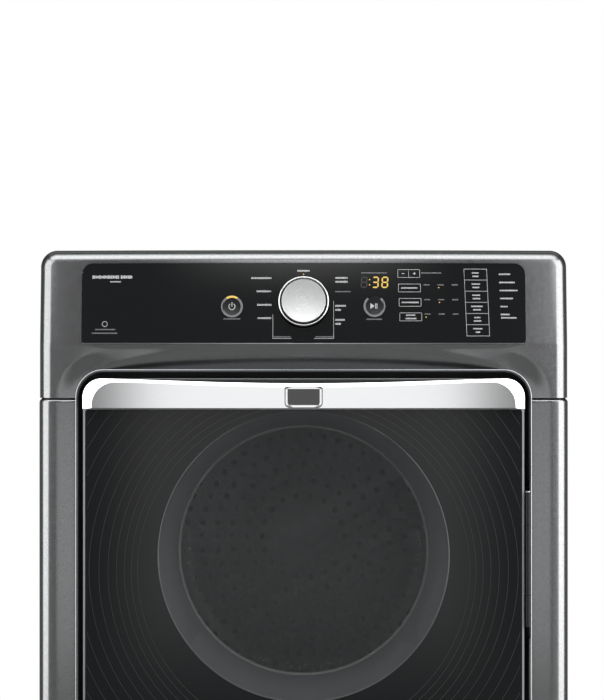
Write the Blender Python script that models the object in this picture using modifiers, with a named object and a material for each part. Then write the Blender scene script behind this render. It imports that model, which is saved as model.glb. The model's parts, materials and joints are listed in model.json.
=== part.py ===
"""Full-size front-load clothes dryer, as an assembly of separate pieces.

Frame: +X to the right of someone facing the machine, -Y out of its front, +Z up.
The origin is on the floor, in the middle of the machine's plan. Units are metres.

The front is bowed: pieces of the front are modelled on a flat face first and then
conformed to the bow, so that neighbours keep their gaps.
"""
import math

import bmesh
import bpy
from mathutils import Matrix, Vector

# ---- Cabinet
HALF_WIDTH = 0.343
HEIGHT = 0.965
FACE_Y = -0.352            # the front face before it is bowed
BACK_Y = 0.382
SHEET = 0.0012             # steel sheet of the cabinet
GAP = 0.0003               # between pieces that touch
ROUND_SIDES = 48           # flats round the large rings
FLOOR_Z = 0.022            # underside of the base pan
PANEL_BOTTOM, PANEL_TOP = 0.030, 0.7725
CONSOLE_BOTTOM = 0.7735
CONSOLE_HALF = 0.3413

# ---- Shape of the front
BOW = 0.030                # how far the middle of the front stands forward of its sides
BOW_STRIPS = 7             # flat strips on each side of the middle
LEAN_START, LEAN = 0.843, 0.20          # the upper console leans back
LEAN_ANGLE = math.atan(LEAN)
LIP_Z, LIP_Y, SCOOP_SLOPE = 0.8098, -0.3623, 0.73   # straight lip over the door handle

# ---- Door opening, door and window
OPENING_HALF, OPENING_BOTTOM, OPENING_TOP = 0.2946, 0.3285, LIP_Z
DOOR_HALF, DOOR_BOTTOM, DOOR_TOP = 0.285, 0.338, 0.7985
HANDLE_BOTTOM = 0.7595
WINDOW_Z, GLASS_Z = 0.570, 0.575
WINDOW_R, GLASS_R = 0.188, 0.163
HINGE_X, HINGE_Y, HINGE_Z = 0.2898, -0.362, 0.564

# ---- Drum and drive
DRUM_Z, DRUM_R, DRUM_WALL = 0.564, 0.315, 0.0012
DRUM_FRONT, DRUM_BACK = -0.285, 0.300
MOTOR_X, MOTOR_Z, MOTOR_R = 0.060, 0.135, 0.062
SHAFT_R, PULLEY_R = 0.006, 0.0125
BELT_THICK, BELT_FRONT, BELT_BACK = 0.0018, -0.024, -0.012
BELT_SEAT_DRUM, BELT_SEAT_PULLEY = DRUM_R + 0.0014, PULLEY_R + 0.0006
IDLER_R, IDLER_PIVOT_X, IDLER_PIVOT_Z = 0.022, 0.175, 0.055
IDLER_ALONG = 0.075        # from the motor pulley, along the slack side of the belt
ROLLER_R, ROLLER_X = 0.032, 0.2233
ROLLER_Z = DRUM_Z - math.sqrt((DRUM_R + ROLLER_R + GAP) ** 2 - ROLLER_X ** 2)

# ---- Air path
PIPE_X, PIPE_Z, PIPE_R = -0.085, 0.085, 0.0508
BLOWER_FRONT, BLOWER_BACK = -0.2915, -0.228

# ---- Controls
KNOB_Z, KNOB_R, KNOB_RING_R = 0.8969, 0.0284, 0.0326
POWER_X, POWER_Z, START_X, START_Z, ROUND_KEY_R = -0.0925, 0.8916, 0.0914, 0.8922, 0.0128
KEY_X, KEY_TOP_Z, KEY_PITCH, KEY_W, KEY_H, KEY_SLANT = 0.1359, 0.9344, 0.0187, 0.0296, 0.0114, 0.0008
OPTION_X, OPTION_TOP_Z, OPTION_PITCH, OPTION_W, OPTION_H = 0.2223, 0.9331, 0.01446, 0.0284, 0.0132
OPTION_SLANT = 0.0006
KEY_CLEARANCE = 0.0004

FEET = [(x, y) for x in (-0.295, 0.295) for y in (-0.285, 0.335)]
X, Y, Z = Vector((1, 0, 0)), Vector((0, 1, 0)), Vector((0, 0, 1))
PANEL_NORMAL = Vector((0, -math.cos(LEAN_ANGLE), math.sin(LEAN_ANGLE)))

COLLECTION = bpy.data.collections.new("clothes_dryer")


# ---------------------------------------------------------------- tools
def clear_scene():
    for item in list(bpy.data.objects):
        bpy.data.objects.remove(item, do_unlink=True)
    bpy.context.scene.collection.children.link(COLLECTION)


def paint(name, colour, roughness, metallic=0.0, transmission=0.0):
    material = bpy.data.materials.new(name)
    material.use_nodes = True
    shader = material.node_tree.nodes["Principled BSDF"]
    shader.inputs["Base Color"].default_value = (*colour, 1.0)
    shader.inputs["Roughness"].default_value = roughness
    shader.inputs["Metallic"].default_value = metallic
    shader.inputs["Transmission Weight"].default_value = transmission
    material.diffuse_color = (*colour, 1.0)
    return material


PAINTS = {
    "granite_paint": paint("granite_paint", (0.085, 0.095, 0.105), 0.35, 0.4),
    "gloss_black": paint("gloss_black", (0.010, 0.011, 0.012), 0.08),
    "black_plastic": paint("black_plastic", (0.020, 0.020, 0.022), 0.45),
    "chrome": paint("chrome", (0.75, 0.76, 0.77), 0.15, 1.0),
    "spun_aluminium": paint("spun_aluminium", (0.70, 0.71, 0.72), 0.3, 1.0),
    "smoked_lens": paint("smoked_lens", (0.020, 0.022, 0.024), 0.05, 0.0, 0.6),
    "clear_glass": paint("clear_glass", (0.80, 0.84, 0.84), 0.03, 0.0, 0.9),
    "galvanised_steel": paint("galvanised_steel", (0.50, 0.52, 0.54), 0.4, 0.9),
    "stainless_steel": paint("stainless_steel", (0.62, 0.62, 0.62), 0.25, 1.0),
    "white_plastic": paint("white_plastic", (0.75, 0.75, 0.73), 0.5),
    "grey_plastic": paint("grey_plastic", (0.25, 0.26, 0.27), 0.5),
    "rubber": paint("rubber", (0.030, 0.030, 0.030), 0.8),
    "felt": paint("felt", (0.40, 0.38, 0.34), 0.95),
    "board_green": paint("board_green", (0.03, 0.16, 0.07), 0.5),
    "brass": paint("brass", (0.72, 0.53, 0.22), 0.3, 1.0),
}


def adopt(name, mesh):
    """A new object of the machine from a finished mesh."""
    piece = bpy.data.objects.new(name, mesh)
    COLLECTION.objects.link(piece)
    return piece


def from_bmesh(name, work):
    mesh = bpy.data.meshes.new(name)
    work.to_mesh(mesh)
    work.free()
    return adopt(name, mesh)


def bake(piece):
    """Apply modifiers or turn a curve into a mesh; weld it and point its faces outwards."""
    depsgraph = bpy.context.evaluated_depsgraph_get()
    mesh = bpy.data.meshes.new_from_object(piece.evaluated_get(depsgraph))
    mesh.transform(piece.matrix_world)
    work = bmesh.new()
    work.from_mesh(mesh)
    bmesh.ops.remove_doubles(work, verts=work.verts, dist=2e-6)
    bmesh.ops.dissolve_degenerate(work, edges=work.edges, dist=1e-6)
    bmesh.ops.recalc_face_normals(work, faces=work.faces)
    work.to_mesh(mesh)
    work.free()
    name = piece.name
    bpy.data.objects.remove(piece, do_unlink=True)
    return adopt(name, mesh)


def box(name, xs, ys, zs):
    work = bmesh.new()
    size = Vector((xs[1] - xs[0], ys[1] - ys[0], zs[1] - zs[0]))
    middle = Vector((sum(xs) / 2, sum(ys) / 2, sum(zs) / 2))
    bmesh.ops.create_cube(work, size=1.0, matrix=Matrix.Translation(middle) @ Matrix.Diagonal((*size, 1)))
    return from_bmesh(name, work)


def rod(name, start, end, radius, sides=24):
    """A round bar between two points."""
    start, end = Vector(start), Vector(end)
    turn = (end - start).to_track_quat("Z", "Y").to_matrix().to_4x4()
    work = bmesh.new()
    bmesh.ops.create_cone(work, cap_ends=True, segments=sides, radius1=radius, radius2=radius,
                          depth=(end - start).length,
                          matrix=Matrix.Translation((start + end) / 2) @ turn)
    return from_bmesh(name, work)


def rod_y(name, x, z, radius, ys, sides=24):
    return rod(name, (x, ys[0], z), (x, ys[1], z), radius, sides)


def arc(centre, radius, start, end, steps):
    """Points of an arc round a centre, from one angle to another in degrees."""
    points = []
    for step in range(steps + 1):
        angle = math.radians(start + (end - start) * step / steps)
        points.append((centre[0] + radius * math.cos(angle), centre[1] + radius * math.sin(angle)))
    return points


def circle(centre, radius, steps=32):
    return arc(centre, radius, 0, 360, steps)[:-1]


def rectangle(across, up):
    return [(across[0], up[0]), (across[1], up[0]), (across[1], up[1]), (across[0], up[1])]


def rounded(half, up, low_radius, high_radius, steps=5, middle=0.0):
    """A rectangle outline with one radius at its lower corners and one at its upper ones."""
    left, right = middle - half, middle + half
    points = arc((left + low_radius, up[0] + low_radius), low_radius, 180, 270, steps)
    points += arc((right - low_radius, up[0] + low_radius), low_radius, 270, 360, steps)
    points += arc((right - high_radius, up[1] - high_radius), high_radius, 0, 90, steps)
    points += arc((left + high_radius, up[1] - high_radius), high_radius, 90, 180, steps)
    return points


def hull(first, first_radius, second, second_radius, steps=16):
    """Outline of a band stretched round two circles."""
    first, second = Vector(first), Vector(second)
    along = second - first
    heading = math.degrees(math.atan2(along.y, along.x))
    spread = math.degrees(math.acos((first_radius - second_radius) / along.length))
    points = arc(first, first_radius, heading + spread, heading + 360 - spread, steps * 2)
    return points + arc(second, second_radius, heading - spread, heading + spread, steps)


TURNS = {
    "X": Matrix(((0, 0, 1), (1, 0, 0), (0, 1, 0))),
    "Y": Matrix(((1, 0, 0), (0, 0, -1), (0, 1, 0))),
    "Z": Matrix.Identity(3),
}


def prism(name, loops, axis, ends):
    """A flat outline, with holes, extruded along an axis between two ends."""
    curve = bpy.data.curves.new(name, "CURVE")
    curve.dimensions = "2D"
    curve.fill_mode = "BOTH"
    curve.extrude = (ends[1] - ends[0]) / 2
    for loop in loops:
        spline = curve.splines.new("POLY")
        spline.points.add(len(loop) - 1)
        for point, place in zip(spline.points, loop):
            point.co = (*place, 0, 1)
        spline.use_cyclic_u = True
    piece = bpy.data.objects.new(name, curve)
    COLLECTION.objects.link(piece)
    offset = Vector([sum(ends) / 2 if letter == axis else 0 for letter in "XYZ"])
    piece.matrix_world = Matrix.Translation(offset) @ TURNS[axis].to_4x4()
    return bake(piece)


def turned(name, profile, base, direction, steps=32, closed=True):
    """A profile of (radius, height) points turned round an axis through the base."""
    mesh = bpy.data.meshes.new(name)
    count = len(profile)
    edges = [(i, (i + 1) % count) for i in range(count if closed else count - 1)]
    mesh.from_pydata([(radius, 0, height) for radius, height in profile], edges, [])
    piece = adopt(name, mesh)
    screw = piece.modifiers.new("Turn", "SCREW")
    screw.steps = screw.render_steps = steps
    screw.use_merge_vertices = True
    screw.merge_threshold = 1e-5
    turn = Vector(direction).to_track_quat("Z", "X").to_matrix().to_4x4()
    piece.matrix_world = Matrix.Translation(base) @ turn
    return bake(piece)


def ring_y(name, x, z, inner, outer, ys, steps=24):
    """A ring or sleeve whose axis runs from front to back."""
    profile = [(inner, 0), (outer, 0), (outer, ys[1] - ys[0]), (inner, ys[1] - ys[0])]
    return turned(name, profile, (x, ys[0], z), Y, steps)


def wire(name, points, radius):
    """A round wire through a list of points."""
    curve = bpy.data.curves.new(name, "CURVE")
    curve.dimensions = "3D"
    curve.bevel_depth = radius
    curve.bevel_resolution = 1
    curve.use_fill_caps = True
    spline = curve.splines.new("POLY")
    spline.points.add(len(points) - 1)
    for point, place in zip(spline.points, points):
        point.co = (*place, 1)
    piece = bpy.data.objects.new(name, curve)
    COLLECTION.objects.link(piece)
    return bake(piece)


def combine(piece, others, operation):
    for other in others:
        boolean = piece.modifiers.new(other.name, "BOOLEAN")
        boolean.operation = operation
        boolean.object = other
    result = bake(piece)
    for other in others:
        bpy.data.objects.remove(other, do_unlink=True)
    return result


def cut(piece, *tools):
    return combine(piece, tools, "DIFFERENCE")


def join(piece, *others):
    return combine(piece, others, "UNION")


def round_edges(piece, radius, segments, chosen):
    """Round the edges whose two ends both pass the test."""
    work = bmesh.new()
    work.from_mesh(piece.data)
    edges = [edge for edge in work.edges if chosen(edge.verts[0].co, edge.verts[1].co)]
    bmesh.ops.bevel(work, geom=edges, offset=radius, segments=segments, profile=0.5,
                    affect="EDGES", clamp_overlap=True)
    work.to_mesh(piece.data)
    work.free()
    return piece


def near(value, target):
    return abs(value - target) < 1e-5


def bow(x):
    """Forward shift of the front at x: a parabola, in flat strips."""
    pitch = HALF_WIDTH / BOW_STRIPS
    strip = min(int(abs(x) / pitch + 1e-6), BOW_STRIPS - 1)
    inner, outer = strip * pitch, (strip + 1) * pitch
    depth = [-BOW * (1 - (place / HALF_WIDTH) ** 2) for place in (inner, outer)]
    return depth[0] + (depth[1] - depth[0]) * (abs(x) - inner) / pitch


def lean(z):
    return LEAN * max(0.0, z - LEAN_START)


def slice_mesh(piece, normal, places):
    """Add cuts across a mesh, so that it can follow a bend there."""
    work = bmesh.new()
    work.from_mesh(piece.data)
    for place in places:
        everything = work.verts[:] + work.edges[:] + work.faces[:]
        bmesh.ops.bisect_plane(work, geom=everything, dist=1e-6, plane_co=normal * place, plane_no=normal)
    work.to_mesh(piece.data)
    work.free()


def conform(piece, full=1.0, flat=2.0, shift=None):
    """Bow a flat piece: wholly where y is less than full, not at all where y is more than flat."""
    shift = shift or (lambda co: bow(co.x) + lean(co.z))
    pitch = HALF_WIDTH / BOW_STRIPS
    slice_mesh(piece, X, [pitch * number for number in range(1 - BOW_STRIPS, BOW_STRIPS)])
    for vertex in piece.data.vertices:
        weight = min(1.0, max(0.0, (flat - vertex.co.y) / (flat - full)))
        vertex.co.y += weight * shift(vertex.co)
    return piece


def finish(piece, name, paint_name, origin=(0, 0, 0)):
    """Name, paint and shade a piece, and put its origin on its joint or at its natural place."""
    piece.name = name
    piece.data.name = name
    piece.data.materials.clear()
    piece.data.materials.append(PAINTS[paint_name])
    piece.data.transform(Matrix.Translation(-Vector(origin)))
    piece.location = origin
    piece.data.shade_smooth()
    piece.data.set_sharp_from_angle(angle=math.radians(35))
    return piece


# ---------------------------------------------------------------- cabinet
def base_pan():
    wall = 0.0015
    pan = box("base_pan", (-0.339, 0.339), (-0.3210, 0.378), (FLOOR_Z, 0.045))
    hollow = box("hollow", (-0.339 + wall, 0.339 - wall), (-0.3210 + wall, 0.378 - wall),
                 (FLOOR_Z + wall, 0.050))
    holes = [rod("hole", (x, y, 0.01), (x, y, 0.03), 0.0062, 16) for x, y in FEET]
    pipe_notch = rod_y("notch", PIPE_X, PIPE_Z, 0.054, (0.370, 0.385))
    return finish(cut(pan, hollow, pipe_notch, *holes), "base_pan", "galvanised_steel")


def cabinet_wrap():
    """Both sides and the back, bent from one sheet."""
    half, front, bend = 0.3425, -0.320, 0.004
    outline = [(-half, front), (-half + SHEET, front)]
    outline += reversed(arc((-half + bend, BACK_Y - bend), bend - SHEET, 90, 180, 3))
    outline += reversed(arc((half - bend, BACK_Y - bend), bend - SHEET, 0, 90, 3))
    outline += [(half - SHEET, front), (half, front)]
    outline += arc((half - bend, BACK_Y - bend), bend, 0, 90, 3)
    outline += arc((-half + bend, BACK_Y - bend), bend, 90, 180, 3)
    wrap = prism("cabinet_wrap", [outline], "Z", (FLOOR_Z, 0.9495))
    depth = (0.37, 0.40)
    openings = [
        box("access", (-0.27, 0.27), depth, (0.20, 0.90)),
        rod_y("exhaust", PIPE_X, PIPE_Z, 0.054, depth),
        rod_y("water", 0.225, 0.125, 0.016, depth, 16),
        rod_y("cord", -0.225, 0.065, 0.0175, depth, 16),
        box("terminals", (-0.255, -0.195), depth, (0.095, 0.155)),
    ]
    return finish(cut(wrap, *openings), "cabinet_wrap", "granite_paint")


def rear_access_cover():
    """A flat cover with a block of vent slots in front of the heater."""
    loops = [rounded(0.285, (0.185, 0.915), 0.008, 0.008, 2)]
    for row in range(8):
        low = 0.27 + row * 0.022
        loops += [rectangle(across, (low, low + 0.008)) for across in ((0.07, 0.16), (0.175, 0.265))]
    cover = prism("rear_access_cover", loops, "Y", (BACK_Y + 0.0005, BACK_Y + 0.002))
    return finish(cover, "rear_access_cover", "galvanised_steel")


def top_panel():
    half, front, back, low = 0.3428, -0.2405, 0.3838, 0.9502
    lid = box("top_panel", (-half, half), (front, back), (low, HEIGHT))
    round_edges(lid, 0.005, 3, lambda a, b: near(a.z, HEIGHT) and near(b.z, HEIGHT)
                and not (near(a.y, front) and near(b.y, front)))
    hollow = box("hollow", (-half + 0.002, half - 0.002), (front + 0.002, back - 0.002),
                 (low - 0.01, HEIGHT - 0.0015))
    return finish(cut(lid, hollow), "top_panel", "granite_paint")


def front_panel():
    """The bowed lower front, open where the door goes."""
    def shell(inset, low, high, back):
        front, half = FACE_Y + inset, HALF_WIDTH - inset
        body = box("front_panel", (-half, half), (front, back), (low, high))
        round_edges(body, 0.014 - inset, 5, lambda a, b: near(a.y, front) and near(b.y, front)
                    and near(abs(a.x), half) and near(a.x, b.x))
        for level in (low, high):
            round_edges(body, 0.005 - inset, 3, lambda a, b: near(a.z, level) and near(b.z, level)
                        and not (near(a.y, back) and near(b.y, back)))
        return body

    wall = 0.0015
    panel = shell(0.0, PANEL_BOTTOM, PANEL_TOP, -0.322)
    hollow = shell(wall, PANEL_BOTTOM + wall, PANEL_TOP - wall, -0.318)
    outline = rounded(OPENING_HALF, (OPENING_BOTTOM, 0.80), 0.050, 0.002)
    opening = prism("opening", [outline], "Y", (-0.36, -0.315))
    return finish(conform(cut(panel, hollow, opening), -0.345, -0.3225), "front_panel", "granite_paint")


def console_fascia():
    """The console's casing: rolled top and side edges, and a scooped lip over the door."""
    def shell(inset, low, back):
        front, half, top = FACE_Y + inset, CONSOLE_HALF - inset, HEIGHT - inset
        body = box("console", (-half, half), (front, back), (low, top))
        round_edges(body, 0.019 - inset, 6, lambda a, b: near(a.z, top) and near(b.z, top)
                    and near(a.x, b.x) and near(abs(a.x), half))
        return round_edges(body, 0.015 - inset, 5, lambda a, b: near(a.y, front) and near(b.y, front)
                           and not (near(a.z, low) and near(b.z, low)))

    back, skin = -0.2435, 0.0025
    casing = shell(0.0, CONSOLE_BOTTOM, back)
    hollow = shell(skin, CONSOLE_BOTTOM - 0.01, back + 0.01)
    window = prism("window", [rounded(0.2874, (0.8444, 0.9479), 0.0034, 0.0144)], "Y", (-0.36, -0.345))
    door = prism("door", [rounded(OPENING_HALF, (0.70, OPENING_TOP), 0.01, 0.036)], "Y", (-0.36, -0.33))
    casing = cut(casing, hollow, window, door)
    slice_mesh(casing, Z, [LIP_Z + 0.0002, 0.8165, 0.823, 0.830, 0.837, LEAN_START])
    slice_mesh(casing, X, [-0.278, 0.278])

    def shift(co):
        bowed = co.y + bow(co.x) + lean(co.z)
        if abs(co.x) > 0.278 or co.y > FACE_Y + skin + GAP or co.z > LEAN_START:
            return bowed - co.y
        scooped = LIP_Y + (co.y - FACE_Y) - SCOOP_SLOPE * max(0.0, co.z - LIP_Z)
        return max(bowed, scooped) - co.y

    return finish(conform(casing, -0.322, -0.262, shift), "console_fascia", "granite_paint")


def door_surround():
    """The liner of the door well. Its lip stands a little proud of the front."""
    front, floor_y, wall = -0.3535, -0.318, 0.002
    half, low, high = 0.2940, 0.3292, 0.8092
    liner = prism("door_surround", [rounded(half, (low, high), 0.0494, 0.0354)], "Y", (front, floor_y + wall))
    well = prism("well", [rounded(half - wall, (low + wall, high - wall), 0.0474, 0.0334)],
                 "Y", (front - 0.01, floor_y))
    mouth = rod_y("mouth", 0, DRUM_Z, 0.215, (-0.33, -0.30), ROUND_SIDES)
    hinge_notch = box("notch", (0.2910, 0.2950), (-0.37, -0.3195), (HINGE_Z - 0.102, HINGE_Z + 0.102))
    strike_hole = box("strike", (-0.2525, -0.2400), (-0.33, -0.30), (0.553, 0.575))
    liner = cut(liner, well, mouth, hinge_notch, strike_hole)

    def shift(co):
        return bow(max(abs(co.x), 0.278)) if co.z > 0.70 else bow(co.x)

    return finish(conform(liner, -0.3455, -0.3225, shift), "door_surround", "black_plastic")


def bulkhead_outline():
    return rounded(0.335, (0.235, 0.905), 0.02, 0.02, 3)


def front_bulkhead():
    """Front plate: carries the drum's front edge and the lint filter's duct."""
    plate_y = (-0.3155, -0.3140)
    catch_hole = rectangle((-0.2585, -0.2315), (0.5435, 0.5845))
    plate = prism("plate", [bulkhead_outline(), circle((0, DRUM_Z), 0.205, ROUND_SIDES), catch_hole], "Y", plate_y)
    flange = ring_y("flange", 0, DRUM_Z, 0.3025, 0.304, (-0.3147, -0.270), ROUND_SIDES)
    duct = box("duct", (-0.115, 0.115), (-0.3150, -0.2925), (0.068, 0.357))
    channel = box("channel", (-0.1135, 0.1135), (-0.3140, -0.2940), (0.0695, 0.365))
    outlet = rod_y("outlet", MOTOR_X, MOTOR_Z, 0.050, (-0.2955, -0.285))
    slots = [box("slot", (-0.09, 0.09), (-0.2955, -0.285), (low, low + 0.008))
             for low in (0.275, 0.290, 0.305, 0.320, 0.335)]
    frame = join(plate, flange, duct)
    return finish(cut(frame, channel, outlet, *slots), "front_bulkhead", "galvanised_steel")


def rear_bulkhead():
    """Rear plate with the heated air inlet and the two roller shafts."""
    holes = [circle((0.16, 0.60), 0.011, 12)]
    for number in range(6):
        holes.append(circle(arc((0.16, 0.60), 0.042, number * 60, number * 60, 1)[0], 0.011, 12))
    plate = prism("plate", [bulkhead_outline(), *holes], "Y", (0.3165, 0.3180))
    flange = ring_y("flange", 0, DRUM_Z, 0.3085, 0.311, (0.292, 0.3172), ROUND_SIDES)
    shafts = [rod_y("shaft", side * ROLLER_X, ROLLER_Z, 0.006, (0.262, 0.3172), 16) for side in (-1, 1)]
    return finish(join(plate, flange, *shafts), "rear_bulkhead", "galvanised_steel")


def front_drum_seal():
    seal = ring_y("seal", 0, DRUM_Z, 0.3045, 0.3125, (-0.285, -0.272), ROUND_SIDES)
    return finish(seal, "front_drum_seal", "felt", (0, -0.2785, DRUM_Z))


# ---------------------------------------------------------------- heat and air
def heater_housing():
    wall = 0.0015
    cover = box("heater_housing", (0.06, 0.30), (0.319, 0.378), (0.25, 0.69))
    hollow = box("hollow", (0.06 + wall, 0.30 - wall), (0.31, 0.378 - wall), (0.24, 0.69 - wall))
    return finish(cut(cover, hollow), "heater_housing", "galvanised_steel")


def heating_element():
    """A rod element folded into three loops."""
    low, high, pitch = 0.29, 0.52, 0.030
    points = []
    for leg in range(6):
        x = 0.105 + leg * pitch
        ends = (low, high) if leg % 2 == 0 else (high, low)
        points.append((x, 0.348, ends[0]))
        if leg < 5:
            centre = (x + pitch / 2, ends[1])
            sweep = (180, 0) if leg % 2 == 0 else (180, 360)
            points += [(a, 0.348, b) for a, b in arc(centre, pitch / 2, *sweep, 4)]
        else:
            points.append((x, 0.348, ends[1]))
    return finish(wire("element", points[:-1] + points[-1:], 0.0033), "heating_element", "stainless_steel")


def motor_body():
    """Motor, its foot, and the bracket that carries the idler's pivot pin."""
    body = rod_y("body", MOTOR_X, MOTOR_Z, MOTOR_R, (-0.195, -0.050), 32)
    foot = box("foot", (0.02, 0.10), (-0.185, -0.048), (0.0238, 0.090))
    bracket = box("bracket", (0.021, 0.197), (-0.052, -0.046), (0.0238, 0.078))
    pin = rod_y("pin", IDLER_PIVOT_X, IDLER_PIVOT_Z, 0.004, (-0.049, -0.028), 16)
    bore = rod_y("bore", MOTOR_X, MOTOR_Z, 0.009, (-0.21, -0.03), 16)
    return finish(cut(join(body, foot, bracket, pin), bore), "motor_body", "galvanised_steel")


def blower_housing():
    """Scroll round the fan, with its outlet on the exhaust pipe."""
    wall = 0.002

    def scroll(inset, ends):
        outline = hull((MOTOR_X, MOTOR_Z), 0.092 - inset, (PIPE_X, PIPE_Z), 0.054 - inset, 7)
        return prism("blower_housing", [outline], "Y", ends)

    casing = scroll(0.0, (BLOWER_FRONT, BLOWER_BACK))
    hollow = scroll(wall, (BLOWER_FRONT + wall, BLOWER_BACK - wall))
    inlet = rod_y("inlet", MOTOR_X, MOTOR_Z, 0.052, (-0.30, -0.285))
    shaft_hole = rod_y("shaft", MOTOR_X, MOTOR_Z, 0.012, (-0.24, -0.22), 16)
    outlet = rod_y("outlet", PIPE_X, PIPE_Z, 0.0495, (-0.24, -0.22), 32)
    return finish(cut(casing, hollow, inlet, shaft_hole, outlet), "blower_housing", "black_plastic")


def exhaust_pipe():
    pipe = ring_y("pipe", PIPE_X, PIPE_Z, PIPE_R - 0.001, PIPE_R, (BLOWER_BACK + 0.0005, 0.400), 32)
    return finish(pipe, "exhaust_pipe", "galvanised_steel", (PIPE_X, 0.400, PIPE_Z))


def water_valve():
    """Steam water valve, with its hose inlet at the back."""
    body = box("body", (0.205, 0.245), (0.345, 0.378), (0.103, 0.147))
    inlet = rod_y("inlet", 0.225, 0.125, 0.0133, (0.370, 0.400), 20)
    solenoid = rod("solenoid", (0.225, 0.3615, 0.140), (0.225, 0.3615, 0.180), 0.013, 16)
    bore = rod_y("bore", 0.225, 0.125, 0.010, (0.385, 0.410), 20)
    return finish(cut(join(body, inlet, solenoid), bore), "water_valve", "white_plastic")


def terminal_block():
    block = box("block", (-0.250, -0.200), (0.350, 0.378), (0.10, 0.15))
    posts = [rod_y("post", -0.240 + 0.015 * number, 0.128, 0.0028, (0.370, 0.3835), 12)
             for number in range(3)]
    return finish(join(block, *posts), "terminal_block", "black_plastic")


# ---------------------------------------------------------------- drum and drive
def drum():
    profile = [(DRUM_R - DRUM_WALL, DRUM_FRONT), (DRUM_R, DRUM_FRONT),
               (DRUM_R, DRUM_BACK), (DRUM_R - DRUM_WALL, DRUM_BACK)]
    shell = turned("drum", profile, (0, 0, DRUM_Z), Y, ROUND_SIDES)
    finish(shell, "drum_shell", "stainless_steel", (0, 0, DRUM_Z))
    base, tip, half = 0.3095, 0.257, 0.045
    outline = [(-half, -base)] + [(half, -base)]
    outline += arc((0, -tip - 0.012), 0.012, 15, 165, 6)
    for number in range(3):
        baffle = prism("baffle", [outline], "Y", (-0.24, 0.24))
        baffle.data.transform(Matrix.Rotation(math.radians(120 * number + 20), 4, "Y"))
        baffle.data.transform(Matrix.Translation((0, 0, DRUM_Z)))
        finish(baffle, f"drum_baffle_{number + 1}", "grey_plastic", (0, 0, DRUM_Z))


def drum_belt():
    drum_centre, pulley_centre = (0, DRUM_Z), (MOTOR_X, MOTOR_Z)
    loops = [hull(drum_centre, BELT_SEAT_DRUM + extra, pulley_centre, BELT_SEAT_PULLEY + extra, 18)
             for extra in (BELT_THICK, 0.0)]
    return finish(prism("belt", loops, "Y", (BELT_FRONT, BELT_BACK)), "drum_belt", "rubber")


def idler_centre():
    """On the slack side of the belt, pressing it from outside."""
    drum_centre, pulley_centre = Vector((0, DRUM_Z)), Vector((MOTOR_X, MOTOR_Z))
    outer_drum, outer_pulley = BELT_SEAT_DRUM + BELT_THICK, BELT_SEAT_PULLEY + BELT_THICK
    along = pulley_centre - drum_centre
    turn = math.acos((outer_drum - outer_pulley) / along.length)
    outward = Matrix.Rotation(turn, 2) @ along.normalized()
    up_belt = Vector((-outward.y, outward.x))
    return pulley_centre + outward * (outer_pulley + IDLER_R + GAP) + up_belt * IDLER_ALONG


def idler():
    centre = idler_centre()
    pivot = Vector((IDLER_PIVOT_X, IDLER_PIVOT_Z))
    lever = prism("arm", [hull(pivot, 0.010, centre, 0.008, 8)], "Y", (-0.0400, -0.0340))
    stud = rod_y("stud", centre.x, centre.y, 0.003, (-0.037, -0.007), 12)
    bore = rod_y("bore", pivot.x, pivot.y, 0.0045, (-0.05, -0.02), 16)
    finish(cut(join(lever, stud), bore), "idler_arm", "galvanised_steel", (pivot.x, -0.037, pivot.y))
    wheel = ring_y("wheel", centre.x, centre.y, 0.0034, IDLER_R, (-0.0260, -0.0100), 24)
    finish(wheel, "idler_pulley", "white_plastic", (centre.x, -0.018, centre.y))


def drive():
    axis = (MOTOR_X, -0.018, MOTOR_Z)
    shaft = rod_y("shaft", MOTOR_X, MOTOR_Z, SHAFT_R, (-0.262, -0.004), 20)
    pulley = rod_y("pulley", MOTOR_X, MOTOR_Z, PULLEY_R, (-0.028, -0.008), 24)
    finish(join(shaft, pulley), "drive_pulley", "galvanised_steel", axis)
    blades, root, tip, half = 16, 0.060, 0.078, 1.4
    outline = []
    for blade in range(blades):
        angle = 360 / blades * blade
        outline += [arc((0, 0), radius, angle + side * half, angle + side * half, 1)[0]
                    for radius, side in ((root, -1), (tip, -1), (tip, 1), (root, 1))]
    wheel = prism("wheel", [outline, circle((0, 0), 0.055, 16)], "Y", (-0.285, -0.242))
    disc = rod_y("disc", 0, 0, tip, (-0.244, -0.239), 32)
    hub = rod_y("hub", 0, 0, 0.014, (-0.266, -0.241), 20)
    bore = rod_y("bore", 0, 0, SHAFT_R + 0.0006, (-0.2640, -0.23), 20)
    fan = cut(join(wheel, disc, hub), bore)
    fan.data.transform(Matrix.Translation((MOTOR_X, 0, MOTOR_Z)))
    finish(fan, "blower_wheel", "white_plastic", (MOTOR_X, -0.262, MOTOR_Z))


def drum_rollers():
    for side, name in ((-1, "drum_roller_left"), (1, "drum_roller_right")):
        roller = ring_y("roller", side * ROLLER_X, ROLLER_Z, 0.0065, ROLLER_R, (0.270, 0.290), 32)
        finish(roller, name, "grey_plastic", (side * ROLLER_X, 0.280, ROLLER_Z))


def lint_filter():
    """Flat screen with a frame all round and a grip along its top."""
    half, ys, zs, rim = 0.110, (-0.3095, -0.2985), (0.225, 0.368), 0.010
    frame = box("frame", (-half, half), ys, zs)
    recesses = [box("recess", (-half + rim, half - rim), depth, (zs[0] + rim, 0.345))
                for depth in ((ys[0] - 0.01, ys[0] + 0.005), (ys[1] - 0.005, ys[1] + 0.01))]
    grip = box("grip", (-0.045, 0.045), (ys[0] - 0.01, ys[0] + 0.005), (0.350, 0.362))
    return finish(cut(frame, *recesses, grip), "lint_filter", "grey_plastic", (0, ys[0], zs[0]))


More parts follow.
